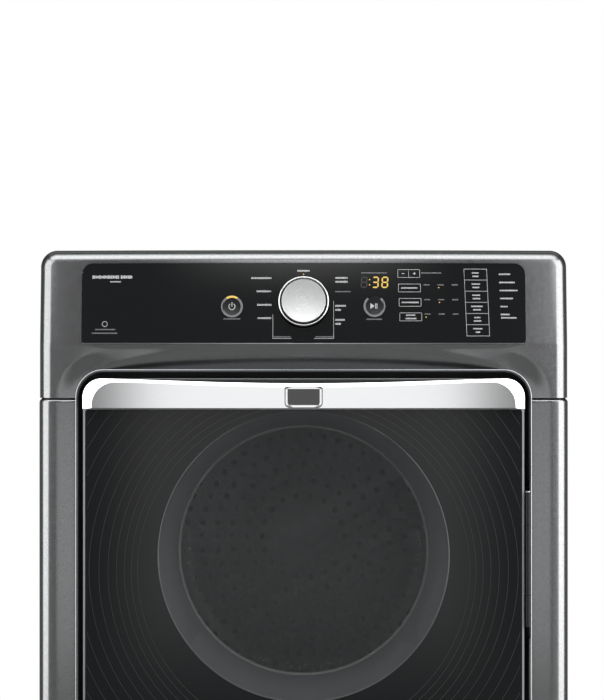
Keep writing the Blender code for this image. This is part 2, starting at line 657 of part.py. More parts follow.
# ---------------------------------------------------------------- feet
def feet():
    for (x, y), name in zip(FEET, ("foot_front_left", "foot_rear_left", "foot_front_right", "foot_rear_right")):
        profile = [(0, 0), (0.017, 0), (0.019, 0.002), (0.019, 0.007), (0.015, 0.010),
                   (0.005, 0.010), (0.005, 0.046), (0, 0.046)]
        finish(turned("foot", profile, (x, y, 0), Z, 20, closed=False), name, "black_plastic", (x, y, 0))


# ---------------------------------------------------------------- door
def door_outline(inset=0.0):
    return rounded(DOOR_HALF - inset, (DOOR_BOTTOM + inset, DOOR_TOP - inset), 0.045 - inset, 0.024 - inset)


def door_frame():
    """Tray behind the lens, with a rim round it and a funnel down to the window glass."""
    wall, face, back, rim_face = 0.003, -0.354, -0.3235, -0.3575
    tray = prism("tray", [door_outline()], "Y", (face, back))
    rim = prism("rim", [door_outline(), rounded(0.2828, (0.3405, 0.800), 0.0428, 0.003)],
                "Y", (rim_face, face + 0.001))
    above = box("above", (-0.3, 0.3), (-0.37, face), (HANDLE_BOTTOM - 0.0005, 0.81))
    hollow = prism("hollow", [door_outline(wall)], "Y", (face + wall, back + 0.01))
    window = rod_y("window", 0, WINDOW_Z, WINDOW_R + 0.0015, (-0.36, -0.34), ROUND_SIDES)
    profile = [(WINDOW_R, -0.3537), (WINDOW_R + 0.005, -0.3537), (WINDOW_R + 0.005, -0.3515),
               (GLASS_R + 0.0035, -0.3290), (GLASS_R, -0.3290)]
    funnel = turned("funnel", profile, (0, 0, WINDOW_Z), Y, ROUND_SIDES)
    for vertex in funnel.data.vertices:
        vertex.co.z += (GLASS_Z - WINDOW_Z) * (vertex.co.y + 0.3537) / 0.0247
    frame = join(cut(join(tray, rim), above, hollow, window), funnel)
    conform(frame, -0.350, -0.330)
    return finish(frame, "door_frame", "grey_plastic", (HINGE_X, HINGE_Y, HINGE_Z))


def door_lens():
    lens = prism("lens", [rounded(0.2825, (0.341, 0.758), 0.0425, 0.003)], "Y", (-0.3580, -0.3545))
    return finish(conform(lens), "door_lens", "smoked_lens", (HINGE_X, HINGE_Y, HINGE_Z))


def door_handle():
    """Grip across the top of the door: its upper edge dips and its pocket opens upwards."""
    face, back, plate = -0.370, -0.3543, 0.0035
    pocket_half, floor_z, dip = 0.262, 0.763, 0.006
    outline = rounded(DOOR_HALF, (HANDLE_BOTTOM, DOOR_TOP), 0.0008, 0.024)
    grip = prism("grip", [outline], "Y", (face, back))
    pocket = box("pocket", (-pocket_half, pocket_half), (face + plate, back - 0.0017), (floor_z, 0.82))
    sweep = [(-pocket_half + 2 * pocket_half * step / 16) for step in range(17)]
    curve = [(x, DOOR_TOP - dip * (1 - (x / pocket_half) ** 2)) for x in sweep]
    scoop = prism("scoop", [curve + [(pocket_half, 0.82), (-pocket_half, 0.82)]],
                  "Y", (face - 0.01, face + plate + 0.0005))
    grip = conform(cut(grip, pocket, scoop))
    return finish(grip, "door_handle", "chrome", (HINGE_X, HINGE_Y, HINGE_Z))


def door_inner_panel():
    """The door's inner cover, with the plug ring that enters the drum's mouth."""
    outline = rounded(0.2817, (0.3413, 0.7952), 0.0415, 0.0205)
    cover = prism("cover", [outline, circle((0, GLASS_Z), 0.160, ROUND_SIDES)], "Y", (-0.3262, -0.3232))
    ring = ring_y("ring", 0, DRUM_Z, 0.180, 0.198, (-0.3240, -0.3115), ROUND_SIDES)
    return finish(join(cover, ring), "door_inner_panel", "white_plastic", (HINGE_X, HINGE_Y, HINGE_Z))


def door_glass():
    """Shallow bowl of glass clamped by its flange."""
    profile = [(0, -0.3125), (0.120, -0.3135), (0.145, -0.3175), (0.1575, -0.3240), (0.1585, -0.3265),
               (0.172, -0.3265), (0.172, -0.3287), (0.156, -0.3287), (0.1535, -0.3262),
               (0.142, -0.3205), (0.118, -0.3167), (0, -0.3157)]
    glass = turned("glass", profile, (0, 0, GLASS_Z), Y, 36, closed=False)
    return finish(glass, "door_glass", "clear_glass", (HINGE_X, HINGE_Y, HINGE_Z))


def door_gasket():
    ring = ring_y("ring", 0, DRUM_Z, 0.2165, 0.2220, (-0.3229, -0.3184), ROUND_SIDES)
    return finish(ring, "door_gasket", "rubber", (HINGE_X, HINGE_Y, HINGE_Z))


def door_strike():
    plate = box("plate", (-0.2560, -0.2365), (-0.3229, -0.3205), (0.550, 0.578))
    blade = box("blade", (-0.2475, -0.2425), (-0.3220, -0.296), (0.556, 0.572))
    return finish(join(plate, blade), "door_strike", "stainless_steel", (HINGE_X, HINGE_Y, HINGE_Z))


def door_catch():
    body = box("door_catch", (-0.258, -0.232), (-0.3155, -0.285), (0.544, 0.584))
    slot = box("slot", (-0.2535, -0.2405), (-0.33, -0.2885), (0.553, 0.575))
    return finish(cut(body, slot), "door_catch", "white_plastic")


KNUCKLE_R, KNUCKLE_HALF, HINGE_HALF, PIN_R = 0.0040, 0.045, 0.0865, 0.0022


def knuckle(low, high):
    profile = [(PIN_R + 0.0004, low), (KNUCKLE_R, low), (KNUCKLE_R, high), (PIN_R + 0.0004, high)]
    return turned("knuckle", profile, (HINGE_X, HINGE_Y, HINGE_Z), Z, 20)


def hinge():
    """A fixed bracket with two knuckles, the door's arm with the middle one, and the pin."""
    leaf = box("leaf", (0.2921, 0.2938), (-0.3570, -0.325), (HINGE_Z - HINGE_HALF, HINGE_Z + HINGE_HALF))
    bracket_parts = []
    for side in (-1, 1):
        near_end, far_end = side * (KNUCKLE_HALF + GAP * 2), side * HINGE_HALF
        low, high = min(near_end, far_end), max(near_end, far_end)
        bracket_parts.append(knuckle(low, high))
        bracket_parts.append(box("ear", (0.2925, 0.2936), (HINGE_Y + 0.0015, -0.3562),
                                 (HINGE_Z + low + 0.001, HINGE_Z + high - 0.001)))
    finish(join(leaf, *bracket_parts), "hinge_bracket", "stainless_steel", (HINGE_X, HINGE_Y, HINGE_Z))

    arm = box("arm", (0.2853, 0.2868), (HINGE_Y, -0.330), (HINGE_Z - KNUCKLE_HALF, HINGE_Z + KNUCKLE_HALF))
    arm = join(arm, knuckle(-KNUCKLE_HALF, KNUCKLE_HALF))
    finish(arm, "hinge_arm", "stainless_steel", (HINGE_X, HINGE_Y, HINGE_Z))

    head = HINGE_HALF + 0.0006
    profile = [(0, -HINGE_HALF), (PIN_R, -HINGE_HALF), (PIN_R, head), (0.0036, head),
               (0.0036, head + 0.002), (0, head + 0.002)]
    pin = turned("pin", profile, (HINGE_X, HINGE_Y, HINGE_Z), Z, 20, closed=False)
    finish(pin, "hinge_pin", "stainless_steel", (HINGE_X, HINGE_Y, HINGE_Z))


# ---------------------------------------------------------------- controls
def on_face(x, z, depth=0.0):
    """A point on the leaned and bowed control face; depth is measured inwards."""
    return Vector((x, -0.3515 + bow(x) + lean(z), z)) - PANEL_NORMAL * depth


def small_keys():
    """Name, centre and size of the four keys beside the display and the six options."""
    names = ("time_rocker", "temperature_key", "dryness_key", "wrinkle_key")
    keys = [(name, KEY_X + KEY_SLANT * row, KEY_TOP_Z - KEY_PITCH * row, KEY_W, KEY_H)
            for row, name in enumerate(names)]
    keys += [(f"option_key_{row + 1}", OPTION_X + OPTION_SLANT * row, OPTION_TOP_Z - OPTION_PITCH * row,
              OPTION_W, OPTION_H) for row in range(6)]
    return keys


def key_outline(x, z, width, height, grow=0.0):
    return rounded(width / 2 + grow, (z - height / 2 - grow, z + height / 2 + grow),
                   0.0012 + grow, 0.0012 + grow, 1, x)


def round_keys():
    return (("power_key", POWER_X, POWER_Z), ("start_key", START_X, START_Z))


def control_overlay():
    """Gloss panel flush in the console, pierced for the keys and the knob."""
    loops = [rounded(0.287, (0.8448, 0.9475), 0.003, 0.014), circle((0, KNOB_Z), KNOB_RING_R + 0.0012, 28)]
    loops += [circle((x, z), ROUND_KEY_R + KEY_CLEARANCE, 20) for _, x, z in round_keys()]
    loops += [key_outline(*key[1:], KEY_CLEARANCE) for key in small_keys()]
    overlay = prism("overlay", loops, "Y", (-0.3515, -0.3490))
    return finish(conform(overlay), "control_overlay", "gloss_black", on_face(0, KNOB_Z))


FRONT_OF_KEY, BACK_OF_OVERLAY = -0.3520, -0.3490


def keys():
    """Push keys. Each has a flange behind the overlay that keeps it in its hole."""
    boss_y, flange_y = (FRONT_OF_KEY, -0.3478), (BACK_OF_OVERLAY + 0.0005, -0.3470)
    for name, x, z in round_keys():
        boss = rod_y("boss", x, z, ROUND_KEY_R, boss_y, 20)
        flange = rod_y("flange", x, z, ROUND_KEY_R + 0.0012, flange_y, 20)
        finish(conform(join(boss, flange)), name, "gloss_black", on_face(x, z))
    for name, x, z, width, height in small_keys():
        boss = prism("boss", [key_outline(x, z, width, height)], "Y", boss_y)
        if name == "time_rocker":
            flange_size = (0.004, height + 0.0022)
        else:
            flange_size = (width + 0.0024, height - 0.002)
        flange = box("flange", (x - flange_size[0] / 2, x + flange_size[0] / 2), flange_y,
                     (z - flange_size[1] / 2, z + flange_size[1] / 2))
        finish(conform(join(boss, flange)), name, "gloss_black", on_face(x, z))


def knob():
    """Turning cap on a shaft, inside a fixed bezel ring; both square to the leaned face."""
    centre = on_face(0, KNOB_Z)
    profile = [(0.0290, -0.004), (0.0316, -0.004), (KNOB_RING_R, -0.003), (KNOB_RING_R, 0.007),
               (0.0316, 0.010), (0.0298, 0.010), (0.0290, 0.0085)]
    finish(turned("ring", profile, centre, PANEL_NORMAL, 28), "knob_ring", "chrome", centre)
    profile = [(0, -0.022), (0.003, -0.022), (0.003, -0.001), (KNOB_R - 0.0004, -0.001),
               (KNOB_R, 0.009), (KNOB_R - 0.0012, 0.0115), (0.020, 0.0128), (0, 0.0134)]
    cap = turned("cap", profile, centre, PANEL_NORMAL, 28, closed=False)
    finish(cap, "knob_cap", "spun_aluminium", centre)


def control_board():
    """Circuit board with the encoder, the display and a transformer."""
    board = box("board", (-0.255, 0.255), (-0.3360, -0.3344), (0.852, 0.942))
    blocks = [box("encoder", (-0.008, 0.008), (-0.356, -0.335), (0.884, 0.901)),
              box("display", (0.070, 0.115), (-0.355, -0.335), (0.912, 0.936)),
              box("transformer", (-0.205, -0.165), (-0.345, -0.335), (0.868, 0.908))]
    centre = on_face(0, KNOB_Z)
    socket = rod("socket", centre - PANEL_NORMAL * 0.008, centre - PANEL_NORMAL * 0.0228, 0.0038, 16)
    return finish(cut(join(board, *blocks), socket), "control_board", "board_green")


def main():
    clear_scene()
    base_pan()
    cabinet_wrap()
    rear_access_cover()
    top_panel()
    front_panel()
    console_fascia()
    door_surround()
    front_bulkhead()
    rear_bulkhead()
    front_drum_seal()
    heater_housing()
    heating_element()
    motor_body()
    blower_housing()
    exhaust_pipe()
    water_valve()
    terminal_block()
    drum()
    drum_belt()
    idler()
    drive()
    drum_rollers()
    lint_filter()
    feet()
    door_frame()
    door_lens()
    door_handle()
    door_inner_panel()
    door_glass()
    door_gasket()
    door_strike()
    door_catch()
    hinge()
    control_overlay()
    keys()
    knob()
    control_board()


main()
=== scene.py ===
# %% [markdown]
# # A front-load clothes dryer
# The dryer's working model comes in as a fixed frame: every body, hinge and size is already right.
# This lesson gives it its looks. Visible casings are rebuilt with finer, smoother surfaces in exactly
# the same places, and every other piece keeps its shape and gets the finish of the real one.

# %% Load the frame
import json
import math

import bmesh
import bpy
from mathutils import Matrix, Vector


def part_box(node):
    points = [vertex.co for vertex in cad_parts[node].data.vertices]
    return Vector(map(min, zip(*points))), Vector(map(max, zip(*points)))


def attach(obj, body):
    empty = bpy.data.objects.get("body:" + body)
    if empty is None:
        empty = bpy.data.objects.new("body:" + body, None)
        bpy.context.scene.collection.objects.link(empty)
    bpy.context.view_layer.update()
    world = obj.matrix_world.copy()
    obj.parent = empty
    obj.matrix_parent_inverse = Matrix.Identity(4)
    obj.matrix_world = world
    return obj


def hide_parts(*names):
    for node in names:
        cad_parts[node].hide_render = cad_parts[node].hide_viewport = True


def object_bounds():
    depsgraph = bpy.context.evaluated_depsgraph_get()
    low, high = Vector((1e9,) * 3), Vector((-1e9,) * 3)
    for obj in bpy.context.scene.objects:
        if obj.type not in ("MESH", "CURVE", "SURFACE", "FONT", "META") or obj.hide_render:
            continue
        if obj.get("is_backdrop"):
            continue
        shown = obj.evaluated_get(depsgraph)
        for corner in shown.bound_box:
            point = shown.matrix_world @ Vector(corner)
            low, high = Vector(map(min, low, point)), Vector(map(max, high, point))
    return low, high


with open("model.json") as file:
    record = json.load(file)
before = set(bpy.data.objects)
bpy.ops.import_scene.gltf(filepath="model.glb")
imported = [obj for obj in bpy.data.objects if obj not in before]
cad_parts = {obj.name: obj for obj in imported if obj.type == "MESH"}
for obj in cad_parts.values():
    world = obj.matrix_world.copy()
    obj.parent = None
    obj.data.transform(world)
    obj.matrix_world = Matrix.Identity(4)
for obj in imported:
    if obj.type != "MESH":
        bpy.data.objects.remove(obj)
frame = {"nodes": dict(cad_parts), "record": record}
CAD_LOW, CAD_HIGH = (list(corner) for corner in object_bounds())
HALF_WIDTH, HEIGHT = CAD_HIGH[0], CAD_HIGH[2]
print("width, depth and height", [round(high - low, 3) for low, high in zip(CAD_LOW, CAD_HIGH)])

# %% [markdown]
# ## Small tools
# A sheet-metal machine is mostly flat outlines with rounded corners, pushed to a thickness, and turned
# parts. Blender can make an outline with a filled 2D curve, a turned part with a Screw modifier and an
# opening with a Boolean. Each helper below returns a plain mesh at the origin, ready to be finished.

# %% Outlines
X, Y, Z = Vector((1, 0, 0)), Vector((0, 1, 0)), Vector((0, 0, 1))


def arc(centre, radius, start, end, steps):
    turn = [math.radians(start + (end - start) * step / steps) for step in range(steps + 1)]
    return [(centre[0] + radius * math.cos(a), centre[1] + radius * math.sin(a)) for a in turn]


def circle(centre, radius, steps=96):
    return arc(centre, radius, 0, 360, steps)[:-1]


def rounded(half, up, low_radius, high_radius, steps=12, middle=0.0):
    """A rectangle, with one radius for its lower corners and one for its upper corners."""
    left, right, (low, high) = middle - half, middle + half, up
    points = arc((left + low_radius, low + low_radius), low_radius, 180, 270, steps)
    points += arc((right - low_radius, low + low_radius), low_radius, 270, 360, steps)
    points += arc((right - high_radius, high - high_radius), high_radius, 0, 90, steps)
    return points + arc((left + high_radius, high - high_radius), high_radius, 90, 180, steps)


# %% Solids
# an outline lies in X and Z and is pushed along Y, or lies in X and Y and is pushed along Z
TURNS = {"Y": Matrix(((1, 0, 0), (0, 0, -1), (0, 1, 0))), "Z": Matrix.Identity(3)}


def adopt(name, mesh):
    piece = bpy.data.objects.new(name, mesh)
    bpy.context.scene.collection.objects.link(piece)
    return piece


def bake(piece, weld=2e-6):
    """Turn a curve, or a mesh with modifiers, into a plain closed mesh at the origin."""
    evaluated = piece.evaluated_get(bpy.context.evaluated_depsgraph_get())
    mesh = bpy.data.meshes.new_from_object(evaluated)
    mesh.transform(piece.matrix_world)
    work = bmesh.new()
    work.from_mesh(mesh)
    bmesh.ops.remove_doubles(work, verts=work.verts, dist=weld)
    bmesh.ops.recalc_face_normals(work, faces=work.faces)
    work.to_mesh(mesh)
    work.free()
    name = piece.name
    bpy.data.objects.remove(piece, do_unlink=True)
    return adopt(name, mesh)


def prism(name, loops, ends, axis="Y"):
    """An outline, with its holes, between two places along an axis."""
    curve = bpy.data.curves.new(name, "CURVE")
    curve.dimensions, curve.fill_mode = "2D", "BOTH"
    curve.extrude = (ends[1] - ends[0]) / 2
    for loop in loops:
        spline = curve.splines.new("POLY")
        spline.points.add(len(loop) - 1)
        for point, place in zip(spline.points, loop):
            point.co = (*place, 0, 1)
        spline.use_cyclic_u = True
    piece = adopt(name, curve)
    offset = Vector([sum(ends) / 2 if letter == axis else 0 for letter in "XYZ"])
    piece.matrix_world = Matrix.Translation(offset) @ TURNS[axis].to_4x4()
    return bake(piece)


def turned(name, profile, base, direction, steps=96, closed=True):
    """A profile of (radius, height) points turned round an axis."""
    mesh = bpy.data.meshes.new(name)
    count = len(profile)
    edges = [(i, (i + 1) % count) for i in range(count if closed else count - 1)]
    mesh.from_pydata([(radius, 0, height) for radius, height in profile], edges, [])
    piece = adopt(name, mesh)
    screw = piece.modifiers.new("Turn", "SCREW")
    screw.steps = screw.render_steps = steps
    screw.use_merge_vertices, screw.merge_threshold = True, 1e-5
    turn = Vector(direction).to_track_quat("Z", "X").to_matrix().to_4x4()
    piece.matrix_world = Matrix.Translation(base) @ turn
    return bake(piece)


def box(name, xs, ys, zs):
    work = bmesh.new()
    size = Vector((xs[1] - xs[0], ys[1] - ys[0], zs[1] - zs[0]))
    middle = Vector((sum(xs), sum(ys), sum(zs))) / 2
    bmesh.ops.create_cube(work, matrix=Matrix.Translation(middle) @ Matrix.Diagonal((*size, 1)))
    mesh = bpy.data.meshes.new(name)
    work.to_mesh(mesh)
    work.free()
    return adopt(name, mesh)


def combine(piece, others, operation):
    for other in others:
        boolean = piece.modifiers.new(other.name, "BOOLEAN")
        boolean.operation, boolean.object = operation, other
    result = bake(piece)
    for other in others:
        bpy.data.objects.remove(other, do_unlink=True)
    return result


def cut(piece, *tools):
    return combine(piece, tools, "DIFFERENCE")


# %% Edges and bends
def near(value, target, margin=1e-5):
    return abs(value - target) < margin


def round_edges(piece, radius, segments, chosen):
    """Round the edges whose two ends pass the test."""
    work = bmesh.new()
    work.from_mesh(piece.data)
    edges = [edge for edge in work.edges if chosen(edge.verts[0].co, edge.verts[1].co)]
    bmesh.ops.bevel(work, geom=edges, offset=radius, segments=segments, profile=0.5,
                    affect="EDGES", clamp_overlap=True)
    work.to_mesh(piece.data)
    work.free()
    return piece


def soften(piece, width, crease=30):
    """A small bevel along every crease."""
    bevel = piece.modifiers.new("Edge", "BEVEL")
    bevel.width, bevel.segments = width, 2
    bevel.limit_method, bevel.angle_limit = "ANGLE", math.radians(crease)
    bevel.harden_normals = False
    return bake(piece, 1e-7)


def slice_mesh(piece, normal, places):
    work = bmesh.new()
    work.from_mesh(piece.data)
    for place in places:
        everything = work.verts[:] + work.edges[:] + work.faces[:]
        bmesh.ops.bisect_plane(work, geom=everything, dist=1e-6, plane_co=normal * place,
                               plane_no=normal)
    work.to_mesh(piece.data)
    work.free()


# %% [markdown]
# ## The bow of the front
# The whole front is one shallow curve: its middle stands 30 mm forward of its sides, and the console
# also leans back above its lip. Every front piece is first modelled flat, where outlines are easy, and
# is then pushed on to this one curve, so neighbours keep their gaps.

# %% Bow and lean
BOW = 0.030                           # how far the middle stands in front of the sides
LEAN_START, LEAN = 0.843, 0.20        # above this height the console goes back by 1 in 5
FACE_Y, PANEL_FRONT = -0.352, -0.3515  # fronts of the casing and of the control panel, before the bow
LIP_Z, LIP_Y = 0.8098, -0.3623        # the console's lowest front edge, over the grip
SCOOP_SLOPE, SCOOP_HALF = 0.50, 0.278
OPENING_HALF, OPENING_BOTTOM = 0.2946, 0.3285
LEAN_ANGLE = math.atan(LEAN)
PANEL_NORMAL = Vector((0, -math.cos(LEAN_ANGLE), math.sin(LEAN_ANGLE)))


def bow(x):
    return -BOW * (1 - (x / HALF_WIDTH) ** 2)


def lean(z):
    return LEAN * max(0.0, z - LEAN_START)


def front_shift(co):
    return bow(co.x) + lean(co.z)


def conform(piece, full=1.0, flat=2.0, shift=front_shift):
    """Bow a flat piece: wholly in front of full, not at all behind flat."""
    pitch = 0.012
    count = int(HALF_WIDTH / pitch)
    slice_mesh(piece, X, [pitch * number for number in range(-count, count + 1)])
    for vertex in piece.data.vertices:
        weight = min(1.0, max(0.0, (flat - vertex.co.y) / (flat - full)))
        vertex.co.y += weight * shift(vertex.co)
    return piece


def follow_bow(piece):
    """Shade the front of a thin bent piece with the curve's own normals, so reflections run clean."""
    mesh, facing_alike = piece.data, 0.995
    normals = [corner.vector.copy() for corner in mesh.corner_normals]
    for polygon in mesh.polygons:
        for corner in polygon.loop_indices:
            place = mesh.vertices[mesh.loops[corner].vertex_index].co
            rise = LEAN if polygon.center.z > LEAN_START else 0
            ideal = Vector((2 * BOW * place.x / HALF_WIDTH ** 2, -1, rise)).normalized()
            if polygon.normal.dot(ideal) > facing_alike:
                normals[corner] = ideal
    mesh.normals_split_custom_set(normals)
    return piece


def on_face(x, z):
    """A point of the control panel's face."""
    return Vector((x, PANEL_FRONT + bow(x) + lean(z), z))


# %% Finish a piece
done_nodes = set()


def done(piece, name, material, body="cabinet", stands_for=(), angle=35):
    """Name, paint and shade a piece and let it ride on its body. Creases above the angle stay sharp."""
    piece.name = piece.data.name = name
    piece.data.materials.clear()
    piece.data.materials.append(material)
    piece.data.shade_smooth()
    piece.data.set_sharp_from_angle(angle=math.radians(angle))
    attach(piece, body)
    if stands_for:
        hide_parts(*stands_for)
        done_nodes.update(stands_for)
    print(f"{name}: {len(piece.data.polygons)} faces, rides on {body}")
    return piece


def smooth_copy(node, material, body, angle=35, edge=0.0, width=1.0):
    """A working piece whose shape is right: merged, shaded smooth and softened at its edges."""
    copy = adopt(node + "_finished", frame["nodes"][node].data.copy())
    copy.data.transform(Matrix.Diagonal((width, 1, 1, 1)))
    copy = bake(copy, 1e-6)
    if edge:
        copy = soften(copy, edge)
    return done(copy, node + "_finished", material, body, (node,), angle=angle)


# %% [markdown]
# ## Camera and light
# A dark, glossy machine looks like what it reflects. A level camera with a long lens looks straight at
# the front. A wide white card behind it turns the middle of the grip white, a smaller card
# higher up puts the soft glow at the top of the control panel, and big soft boxes above and at the sides
# draw the bright lines along the rolled edges. A weak box above the rear keeps the lid from going black.

# %% Camera
CAMERA_DISTANCE, CAMERA_SIDE, CAMERA_HEIGHT = 5.2, -0.0021, 0.8355
VIEW_HEIGHT = 0.9065                  # how much height the view takes in, at the front
camera_data = bpy.data.cameras.new("camera")
camera_data.sensor_width = 36.0
camera_data.lens = 36.0 * CAMERA_DISTANCE / VIEW_HEIGHT
camera = bpy.data.objects.new("camera", camera_data)
bpy.context.scene.collection.objects.link(camera)
camera.location = (CAMERA_SIDE, FACE_Y - CAMERA_DISTANCE, CAMERA_HEIGHT)
camera.rotation_euler = (math.radians(90), 0, 0)
bpy.context.scene.camera = camera


# %% Soft lights
def add(tree, kind, links=None, **settings):
    """Add a node. links maps its inputs to output sockets; other inputs are given by name."""
    node = tree.nodes.new(kind)
    for key, value in settings.items():
        if hasattr(node, key):
            setattr(node, key, value)
        else:
            node.inputs[key.replace("_", " ")].default_value = value
    for key, source in (links or {}).items():
        tree.links.new(source, node.inputs[key])
    return node


def soft_light(name, place, target, size, radiance, soft_edge):
    """A flat light that dims towards its edges, over the given shares of its width and height."""
    data = bpy.data.lights.new(name, "AREA")
    data.shape, data.size, data.size_y = "RECTANGLE", size[0], size[1]
    data.energy = radiance * math.pi * size[0] * size[1]
    data.use_nodes = True
    tree = data.node_tree
    uv = add(tree, "ShaderNodeNewGeometry").outputs["Parametric"]
    parts = add(tree, "ShaderNodeSeparateXYZ", {0: uv})
    falls = []
    for socket, soft in zip(parts.outputs[:2], soft_edge):
        middle = add(tree, "ShaderNodeMath", {0: socket}, operation="SUBTRACT")
        middle.inputs[1].default_value = 0.5
        reach = add(tree, "ShaderNodeMath", {0: middle.outputs[0]}, operation="ABSOLUTE")
        fall = add(tree, "ShaderNodeMapRange", {"Value": reach.outputs[0]}, From_Min=0.5 - soft,
                   From_Max=0.5, To_Min=1.0, To_Max=0.0, interpolation_type="SMOOTHSTEP")
        falls.append(fall.outputs["Result"])
    both = add(tree, "ShaderNodeMath", {0: falls[0], 1: falls[1]}, operation="MULTIPLY")
    emission = tree.nodes["Emission"]
    tree.links.new(both.outputs[0], emission.inputs["Strength"])
    light = bpy.data.objects.new(name, data)
    bpy.context.scene.collection.objects.link(light)
    light.location = place
    light.rotation_mode = "QUATERNION"
    light.rotation_quaternion = (Vector(target) - Vector(place)).to_track_quat("-Z", "Y")
    light.visible_camera = False
    return light


soft_light("card_behind_camera", (0, -4.4, 0.80), (0, 0, 0.80), (3.4, 1.7), 0.92, (0.20, 0.22))
soft_light("card_over_panel", (0, -2.55, 2.36), (0, -0.37, 0.93), (1.7, 0.95), 2.6, (0.50, 0.22))
soft_light("box_overhead", (0, -1.3, 3.1), (0, -1.3, 0), (4.6, 2.7), 4.6, (0.10, 0.35))
soft_light("box_over_rear", (0, 1.15, 3.1), (0, 1.15, 0), (4.6, 2.0), 0.35, (0.10, 0.40))
soft_light("box_left", (-2.28, -1.52, 1.4), (0.02, -0.52, 1.1), (3.0, 3.2), 3.8, (0.15, 0.06))
soft_light("box_right", (2.26, -1.60, 1.4), (-0.04, -0.60, 1.1), (3.4, 3.2), 5.0, (0.21, 0.06))

# %% Surroundings
world = bpy.data.worlds.new("studio")
bpy.context.scene.world = world
world.use_nodes = True
sky = world.node_tree
sky.nodes.clear()
seen = add(sky, "ShaderNodeBackground", Color=(1.0, 1.0, 1.0, 1.0), Strength=1.0)
direction = add(sky, "ShaderNodeTexCoord").outputs["Generated"]
height = add(sky, "ShaderNodeSeparateXYZ", {0: direction}).outputs["Z"]
glow = add(sky, "ShaderNodeValToRGB", {"Fac": height})
for element, place, grey in zip(glow.color_ramp.elements, (0.0, 0.30), (0.22, 0.105)):
    element.position, element.color = place, (grey, grey, grey, 1)
room = add(sky, "ShaderNodeBackground", {"Color": glow.outputs["Color"]}, Strength=1.0)
path = add(sky, "ShaderNodeLightPath")
# the background looks plain white, while the surfaces reflect a dim grey room
mix = add(sky, "ShaderNodeMixShader", {0: path.outputs["Is Camera Ray"], 1: room.outputs[0],
                                       2: seen.outputs[0]})
add(sky, "ShaderNodeOutputWorld", {"Surface": mix.outputs[0]})
bpy.context.scene.view_settings.view_transform = "Standard"

FLOOR_R = 3.8
floor = prism("floor", [circle((0, 0), FLOOR_R)], (-0.02, -0.0005), "Z")
floor_finish = bpy.data.materials.new("pale_floor")
floor_finish.use_nodes = True
floor_shader = floor_finish.node_tree.nodes["Principled BSDF"]
floor_shader.inputs["Base Color"].default_value = (0.20, 0.20, 0.197, 1)
floor_shader.inputs["Roughness"].default_value = 0.6
floor.data.materials.append(floor_finish)
floor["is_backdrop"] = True


# %% [markdown]
# ## Finishes
# Every finish starts from the real material. Small surface changes come from noise in real sizes:
# a noise of scale S repeats about every 1/S metres. The pattern sits on Object coordinates, so it
# stays with its piece when the piece moves.

# %% Colours and a fresh material
def linear(code):
    """An sRGB hex colour as linear RGBA."""
    parts = [int(code[i:i + 2], 16) / 255 for i in (1, 3, 5)]
    return (*[c / 12.92 if c <= 0.04045 else ((c + 0.055) / 1.055) ** 2.4 for c in parts], 1.0)


def start(name, colour, **sockets):
    """A material with its shader's own sockets set. Returns it with its tree and coordinates."""
    material = bpy.data.materials.new(name)
    material.use_nodes = True
    tree = material.node_tree
    shader = tree.nodes["Principled BSDF"]
    shader.inputs["Base Color"].default_value = linear(colour)
    for key, value in sockets.items():
        shader.inputs[key.replace("_", " ")].default_value = value
    material.diffuse_color = linear(colour)
    return material, tree, add(tree, "ShaderNodeTexCoord").outputs["Object"]


def steer(tree, pattern, colours=None, roughness=None, bump=None):
    """Let a pattern vary a finish: between two colours or roughnesses, or as a fine relief."""
    shader = tree.nodes["Principled BSDF"]
    if colours:
        ramp = add(tree, "ShaderNodeValToRGB", {"Fac": pattern})
        for element, place, code in zip(ramp.color_ramp.elements, (0.3, 0.7), colours):
            element.position, element.color = place, linear(code)
        tree.links.new(ramp.outputs["Color"], shader.inputs["Base Color"])
    if roughness:
        limits = add(tree, "ShaderNodeMapRange", {"Value": pattern}, To_Min=roughness[0], To_Max=roughness[1])
        tree.links.new(limits.outputs["Result"], shader.inputs["Roughness"])
    if bump:
        relief = add(tree, "ShaderNodeBump", {"Height": pattern}, Strength=bump[0], Distance=bump[1])
        tree.links.new(relief.outputs[0], shader.inputs["Normal"])


# %% [markdown]
# ### Metallic granite enamel
# The cabinet is steel with a baked metallic paint: aluminium flakes in a grey base under a clear coat.
# The flakes give a soft, wide shine that follows the form, and the clear coat gives the sharp lines.

# %% Granite enamel
def granite_enamel():
    material, tree, where = start("metallic_granite_enamel", "#727374", Metallic=1.0, Roughness=0.24,
                                  Coat_Weight=0.6, Coat_Roughness=0.04)
    # real flakes are 0.05 mm; cells of 0.8 mm are the smallest that still show as a faint sparkle
    flake = add(tree, "ShaderNodeTexVoronoi", {"Vector": where}, Scale=1250.0)
    cells = add(tree, "ShaderNodeRGBToBW", {"Color": flake.outputs["Color"]}).outputs[0]
    steer(tree, cells, colours=("#6d6e6f", "#7a7b7c"))
    peel = add(tree, "ShaderNodeTexNoise", {"Vector": where}, Scale=160.0, Detail=2.0)
    steer(tree, peel.outputs["Fac"], roughness=(0.21, 0.27), bump=(0.02, 0.0005))
    return material


# %% [markdown]
# ### Gloss black panel, chrome and spun aluminium
# The control overlay is back-printed acrylic: almost black, very smooth, faintly uneven. Chromed plastic
# is a near-perfect mirror with a slight waviness; the grip's flat face is brushed along its length, and
# rolled steel has the same kind of grain. The dial's cap was turned on a lathe, which leaves fine rings
# round its axis.

# %% Gloss black acrylic
def black_acrylic():
    material, tree, where = start("back_printed_acrylic", "#0b0c0d", Roughness=0.05, IOR=1.72)
    haze = add(tree, "ShaderNodeTexNoise", {"Vector": where}, Scale=9.0, Detail=3.0)
    steer(tree, haze.outputs["Fac"], roughness=(0.04, 0.09))
    return material


